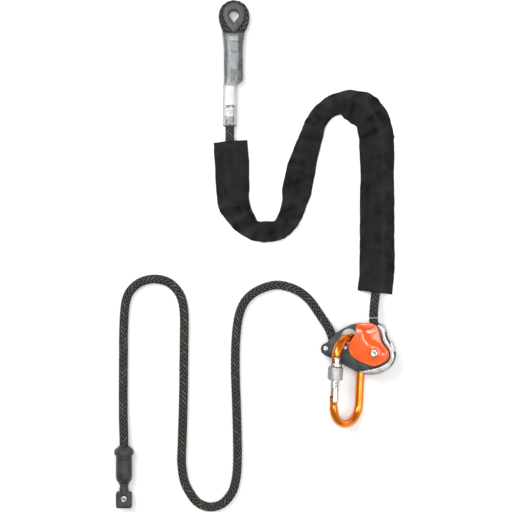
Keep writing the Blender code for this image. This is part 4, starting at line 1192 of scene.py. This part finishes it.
def bar_piece(mat):
    """Forged oval bar with a slightly boxy section, its nose and its tang."""
    straight = HALF_L - HALF_W
    line = [Vector((HALF_W, BAR_END, 0))]
    line += [Vector((HALF_W * math.cos(a), straight + HALF_W * math.sin(a), 0))
             for a in (math.pi * i / 40 for i in range(1, 41))]
    line += [Vector((-HALF_W, straight - 2 * straight * i / 16, 0)) for i in range(1, 16)]
    line += [Vector((HALF_W * math.cos(a), -straight + HALF_W * math.sin(a), 0))
             for a in (math.pi + math.pi * i / 40 for i in range(41))]
    line[-1] = Vector((HALF_W, TANG_END, 0))
    lengths = run_lengths(line)
    total = lengths[-1]
    rings = []
    for i, (p, v) in enumerate(zip(line, lengths)):
        along = (line[min(i + 1, len(line) - 1)] - line[max(i - 1, 0)]).normalized()
        side = Vector((along.y, -along.x, 0))
        from_end = min(v, total - v)
        size = BAR_R - 0.5 * math.exp(-from_end / 1.2)
        ring = []
        for k in range(40):
            a = 2 * math.pi * k / 40
            c, s = math.cos(a), math.sin(a)
            power = 2.08
            ring.append(p + side * math.copysign(size * abs(c) ** (2 / power), c)
                        + Vector((0, 0, math.copysign(size * abs(s) ** (2 / power), s))))
        rings.append(ring)
    bar = skin(rings, [v * MM for v in lengths])
    nose = plate([Vector((*p, 0)) for p in ((21.9, 31), (21.9, NOSE_Y + 0.9), (22.7, NOSE_Y),
                                            (26.7, NOSE_Y), (27.6, NOSE_Y + 1), (27.6, 31))], [],
                 -NOSE_HALF_T, NOSE_HALF_T, 0.35)
    tang_line = [Vector((19.2, -30.2, 0)), Vector((27.8, -30.2, 0))]
    tang_line += circle((HALF_W, PIVOT_Y), TANG_R, 17, math.radians(-4), math.radians(188))
    tang = plate(tang_line, [circle((HALF_W, PIVOT_Y), RIVET_HOLE_R, 20)], -TANG_HALF_T,
                 TANG_HALF_T, 0.35)
    return put("link_bar_forged", merge(bar, nose, tang), mat, "link", LINK, ("link_body",),
               45)


def thread_and_gate(mat):
    """Gate tube with a helical thread at its middle, forked for the nose and for the tang."""
    count = 48
    rings, ys = [], []
    y = -26.0
    while y < 29.41:
        ys.append(y)
        y += 0.35 if -8.2 < y < 1.6 else 1.2
    ys.append(29.4)
    for y in ys:
        ring = []
        for k in range(count):
            a = 2 * math.pi * k / count
            r = GATE_R
            if THREAD[0] < y < THREAD[1]:
                fade = min(1.0, (y - THREAD[0]) / 0.8, (THREAD[1] - y) / 0.8)
                swing = math.cos(2 * math.pi * (y / THREAD_PITCH - k / count))
                r += THREAD_HEIGHT * fade * (0.5 + 0.5 * swing)
            if y > 28.6:
                r -= (y - 28.6) * 0.9
            if y < -25.4:
                r -= (-25.4 - y) * 0.9
            x, z = r * math.cos(a), r * math.sin(a)
            ring.append(Vector((HALF_W + x, y, z)))
        rings.append(ring)
    bm = skin(rings, [y * MM for y in ys])
    piece = put("gate_tube", bm, mat, "gate", LINK, ("gate",), 45)
    cuts = [((20.2, 31.0), (NOSE_Y - 0.5, 31.5), (-2.5, 2.5)),
            ((10.0, 40.0), (-30.0, -17.2), (-2.8, 2.8))]
    for i, (xs, spans, zs) in enumerate(cuts):
        cutter = bmesh.new()
        bmesh.ops.create_cube(cutter, size=1.0)
        for v in cutter.verts:
            v.co = Vector(((xs[0] + xs[1]) / 2 + v.co.x * (xs[1] - xs[0]),
                           (spans[0] + spans[1]) / 2 + v.co.y * (spans[1] - spans[0]),
                           (zs[0] + zs[1]) / 2 + v.co.z * (zs[1] - zs[0])))
        bmesh.ops.transform(cutter, matrix=LINK, verts=cutter.verts)
        mesh = bpy.data.meshes.new(f"cutter_{i}")
        cutter.to_mesh(mesh)
        cutter.free()
        tool = bpy.data.objects.new(f"cutter_{i}", mesh)
        bpy.context.collection.objects.link(tool)
        made = piece.modifiers.new("cut", 'BOOLEAN')
        made.operation = 'DIFFERENCE'
        made.solver = 'EXACT'
        made.object = tool
        bpy.context.view_layer.update()
        done = bpy.data.meshes.new_from_object(
            piece.evaluated_get(bpy.context.evaluated_depsgraph_get()))
        piece.modifiers.clear()
        piece.data = done
        bpy.data.objects.remove(tool)
    piece.data.shade_smooth()
    piece.data.set_sharp_from_angle(angle=math.radians(40))
    return piece


def ring_piece(mat):
    """Bright collar and the thin carrier under the grip."""
    profile = rounded([(6.0, 2.6), (7.0, 2.6), (7.0, 17.9), (7.4, 18.1), (7.4, 21.4), (6.9, 22.0),
                       (6.0, 22.0)], 0.2, True)
    bm = turned(profile, 56, True, (HALF_W, 0))
    return put("sleeve_collar", bm, mat, "sleeve_ring", LINK, ("sleeve_ring",), 45)


def grip_piece(mat):
    """Knurled grip: diamond knurling between two plain bands."""
    count = 144
    rings = []
    levels = [(7.3, 2.0, 0), (8.4, 2.0, 0), (8.9, 2.25, 0), (9.15, 2.8, 0), (9.15, 3.6, 0)]
    levels += [(9.0, 3.9 + 0.42 * i, 1) for i in range(29)]
    levels += [(9.15, 16.2, 0), (9.15, 16.8, 0), (8.9, 17.35, 0), (8.4, 17.6, 0), (7.3, 17.6, 0)]
    for radius, y, knurl in levels:
        ring = []
        for k in range(count):
            a = 2 * math.pi * k / count
            r = radius
            if knurl:
                turn = KNURL_TEETH * k / count
                up = y / 1.5
                teeth = abs(math.sin(math.pi * (turn + up / 2))) * abs(
                    math.sin(math.pi * (turn - up / 2)))
                r += KNURL_HEIGHT * teeth
            ring.append(Vector((HALF_W + r * math.cos(a), y, r * math.sin(a))))
        rings.append(ring)
    bm = skin(rings, [0.0] * len(rings), caps=False, joined=True)
    return put("grip_knurled", bm, mat, "lock_sleeve", LINK, ("lock_sleeve",), 50)


def rivet_piece(mat):
    """Hinge rivet with two domed heads, flush in the gate's fork."""
    profile = [(0, -5.05), (0.9, -5.0), (1.4, -4.75), (1.5, -4.4), (1.5, 4.4), (1.4, 4.75),
               (0.9, 5.0), (0, 5.05)]
    bm = turned(profile, 32)
    bmesh.ops.translate(bm, verts=bm.verts, vec=(HALF_W, PIVOT_Y, 0))
    return put("gate_rivet_domed", bm, mat, "link", LINK, ("gate_rivet",), 45)


# ---------------------------------------------------------------- floor, light, camera

VIEW_AT = (-0.1252, 0.1454)
VIEW_HEIGHT = 1.5
VIEW_SPAN = 0.6349
SENSOR = 36.0
FLOOR_HALF = 2.5
FLOOR_WHITE = (0.92, 0.92, 0.92, 1)
SKY_STRENGTH = 0.31
# each lamp's name, place and size in metres, and watts
LAMPS = [("key", (-0.9, 0.9, 1.6), 0.8, 23.0), ("fill", (1.2, -0.2, 1.3), 0.9, 10.0),
         ("top", (-0.1, 0.2, 2.4), 1.2, 30.0)]


def make_studio():
    """A white floor, an even white surround and three soft lamps."""
    bm = bmesh.new()
    bmesh.ops.create_grid(bm, x_segments=1, y_segments=1, size=FLOOR_HALF)
    mesh = bpy.data.meshes.new("floor")
    bm.to_mesh(mesh)
    bm.free()
    mat, shader = surface("floor_white", 0.0, 0.9)
    shader.inputs["Base Color"].default_value = FLOOR_WHITE
    mesh.materials.append(mat)
    floor = bpy.data.objects.new("floor", mesh)
    bpy.context.collection.objects.link(floor)

    world = bpy.data.worlds.new("studio")
    bpy.context.scene.world = world
    world.use_nodes = True
    world.node_tree.nodes["Background"].inputs["Color"].default_value = (1, 1, 1, 1)
    world.node_tree.nodes["Background"].inputs["Strength"].default_value = SKY_STRENGTH
    for name, place, size, power in LAMPS:
        light = bpy.data.lights.new(name, 'AREA')
        light.size = size
        light.energy = power
        lamp = bpy.data.objects.new(name, light)
        lamp.location = place
        aim = Vector((VIEW_AT[0], VIEW_AT[1], 0)) - Vector(place)
        lamp.rotation_euler = aim.to_track_quat('-Z', 'Y').to_euler()
        bpy.context.collection.objects.link(lamp)


def make_camera():
    """Straight down over the middle of the layout."""
    bpy.context.scene.view_settings.view_transform = 'Standard'
    cam = bpy.data.cameras.new("camera")
    cam.sensor_width = SENSOR
    cam.lens = SENSOR * VIEW_HEIGHT / VIEW_SPAN
    cam.clip_start = 0.05
    obj = bpy.data.objects.new("camera", cam)
    obj.location = (*VIEW_AT, VIEW_HEIGHT)
    bpy.context.collection.objects.link(obj)
    bpy.context.scene.camera = obj


def repaint(names, mat):
    """A better material on CAD nodes whose shape is right."""
    for name in names:
        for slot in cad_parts[name].material_slots:
            slot.material = mat


# ---------------------------------------------------------------- everything

make_camera()
mats = make_materials()
tail, tail_path = braided("rope_tail_braid", in_mm(TAIL), mats["rope"], WORLD, ("rope_tail",))
line, line_path = braided("rope_line_braid", in_mm(LINE), mats["rope"], WORLD, ("rope_line",))
# The rope in the grab is lengthened at both ends, so that no slit shows to the free ropes.
JOIN = 0.5
first, last = Vector(IN_GRAB[0]), Vector(IN_GRAB[-1])
run_in = (first - Vector(IN_GRAB[1])).normalized() * JOIN
run_out = (last - Vector(IN_GRAB[-2])).normalized() * JOIN
braided("rope_in_grab_braid", [first + run_in, *IN_GRAB[1:-1], last + run_out], mats["rope"], GRAB,
        ("rope_in_grab",))
stopper_set = stopper_pieces(mats)
sleeve, sleeve_path = sleeve_piece(mats["sleeve"])
stitches = hem_stitches(mats["stitch"], sleeve_path)
thimble = thimble_piece(mats["thimble"])
cover = cover_piece(mats["clear"])
labels = grey_label_piece(mats)
labels.append(label_wrap("white_label_wrap", mats["white_label"], *WHITE_LABEL, "white_label"))
labels.append(label_wrap("printed_band_wrap", mats["band"], *PRINTED_BAND, "printed_band"))

frame_piece(mats["cast"], mats["dark"])
front_plate_piece(mats["dark"])
lever_piece(mats["lever"])
axle_piece(mats["steel"])
tip_screw_piece(mats["steel"])
bar_piece(mats["bar"])
thread_and_gate(mats["alloy"])
ring_piece(mats["alloy"])
grip_piece(mats["grip"])
rivet_piece(mats["steel"])
repaint(("cam", "drive_pin_1", "drive_pin_2", "axle_nut", "return_spring", "tip_spacer",
         "tip_nut", "guide_post", "brake_shoe", "gate_spring", "gate_plunger"), mats["steel"])

make_studio()
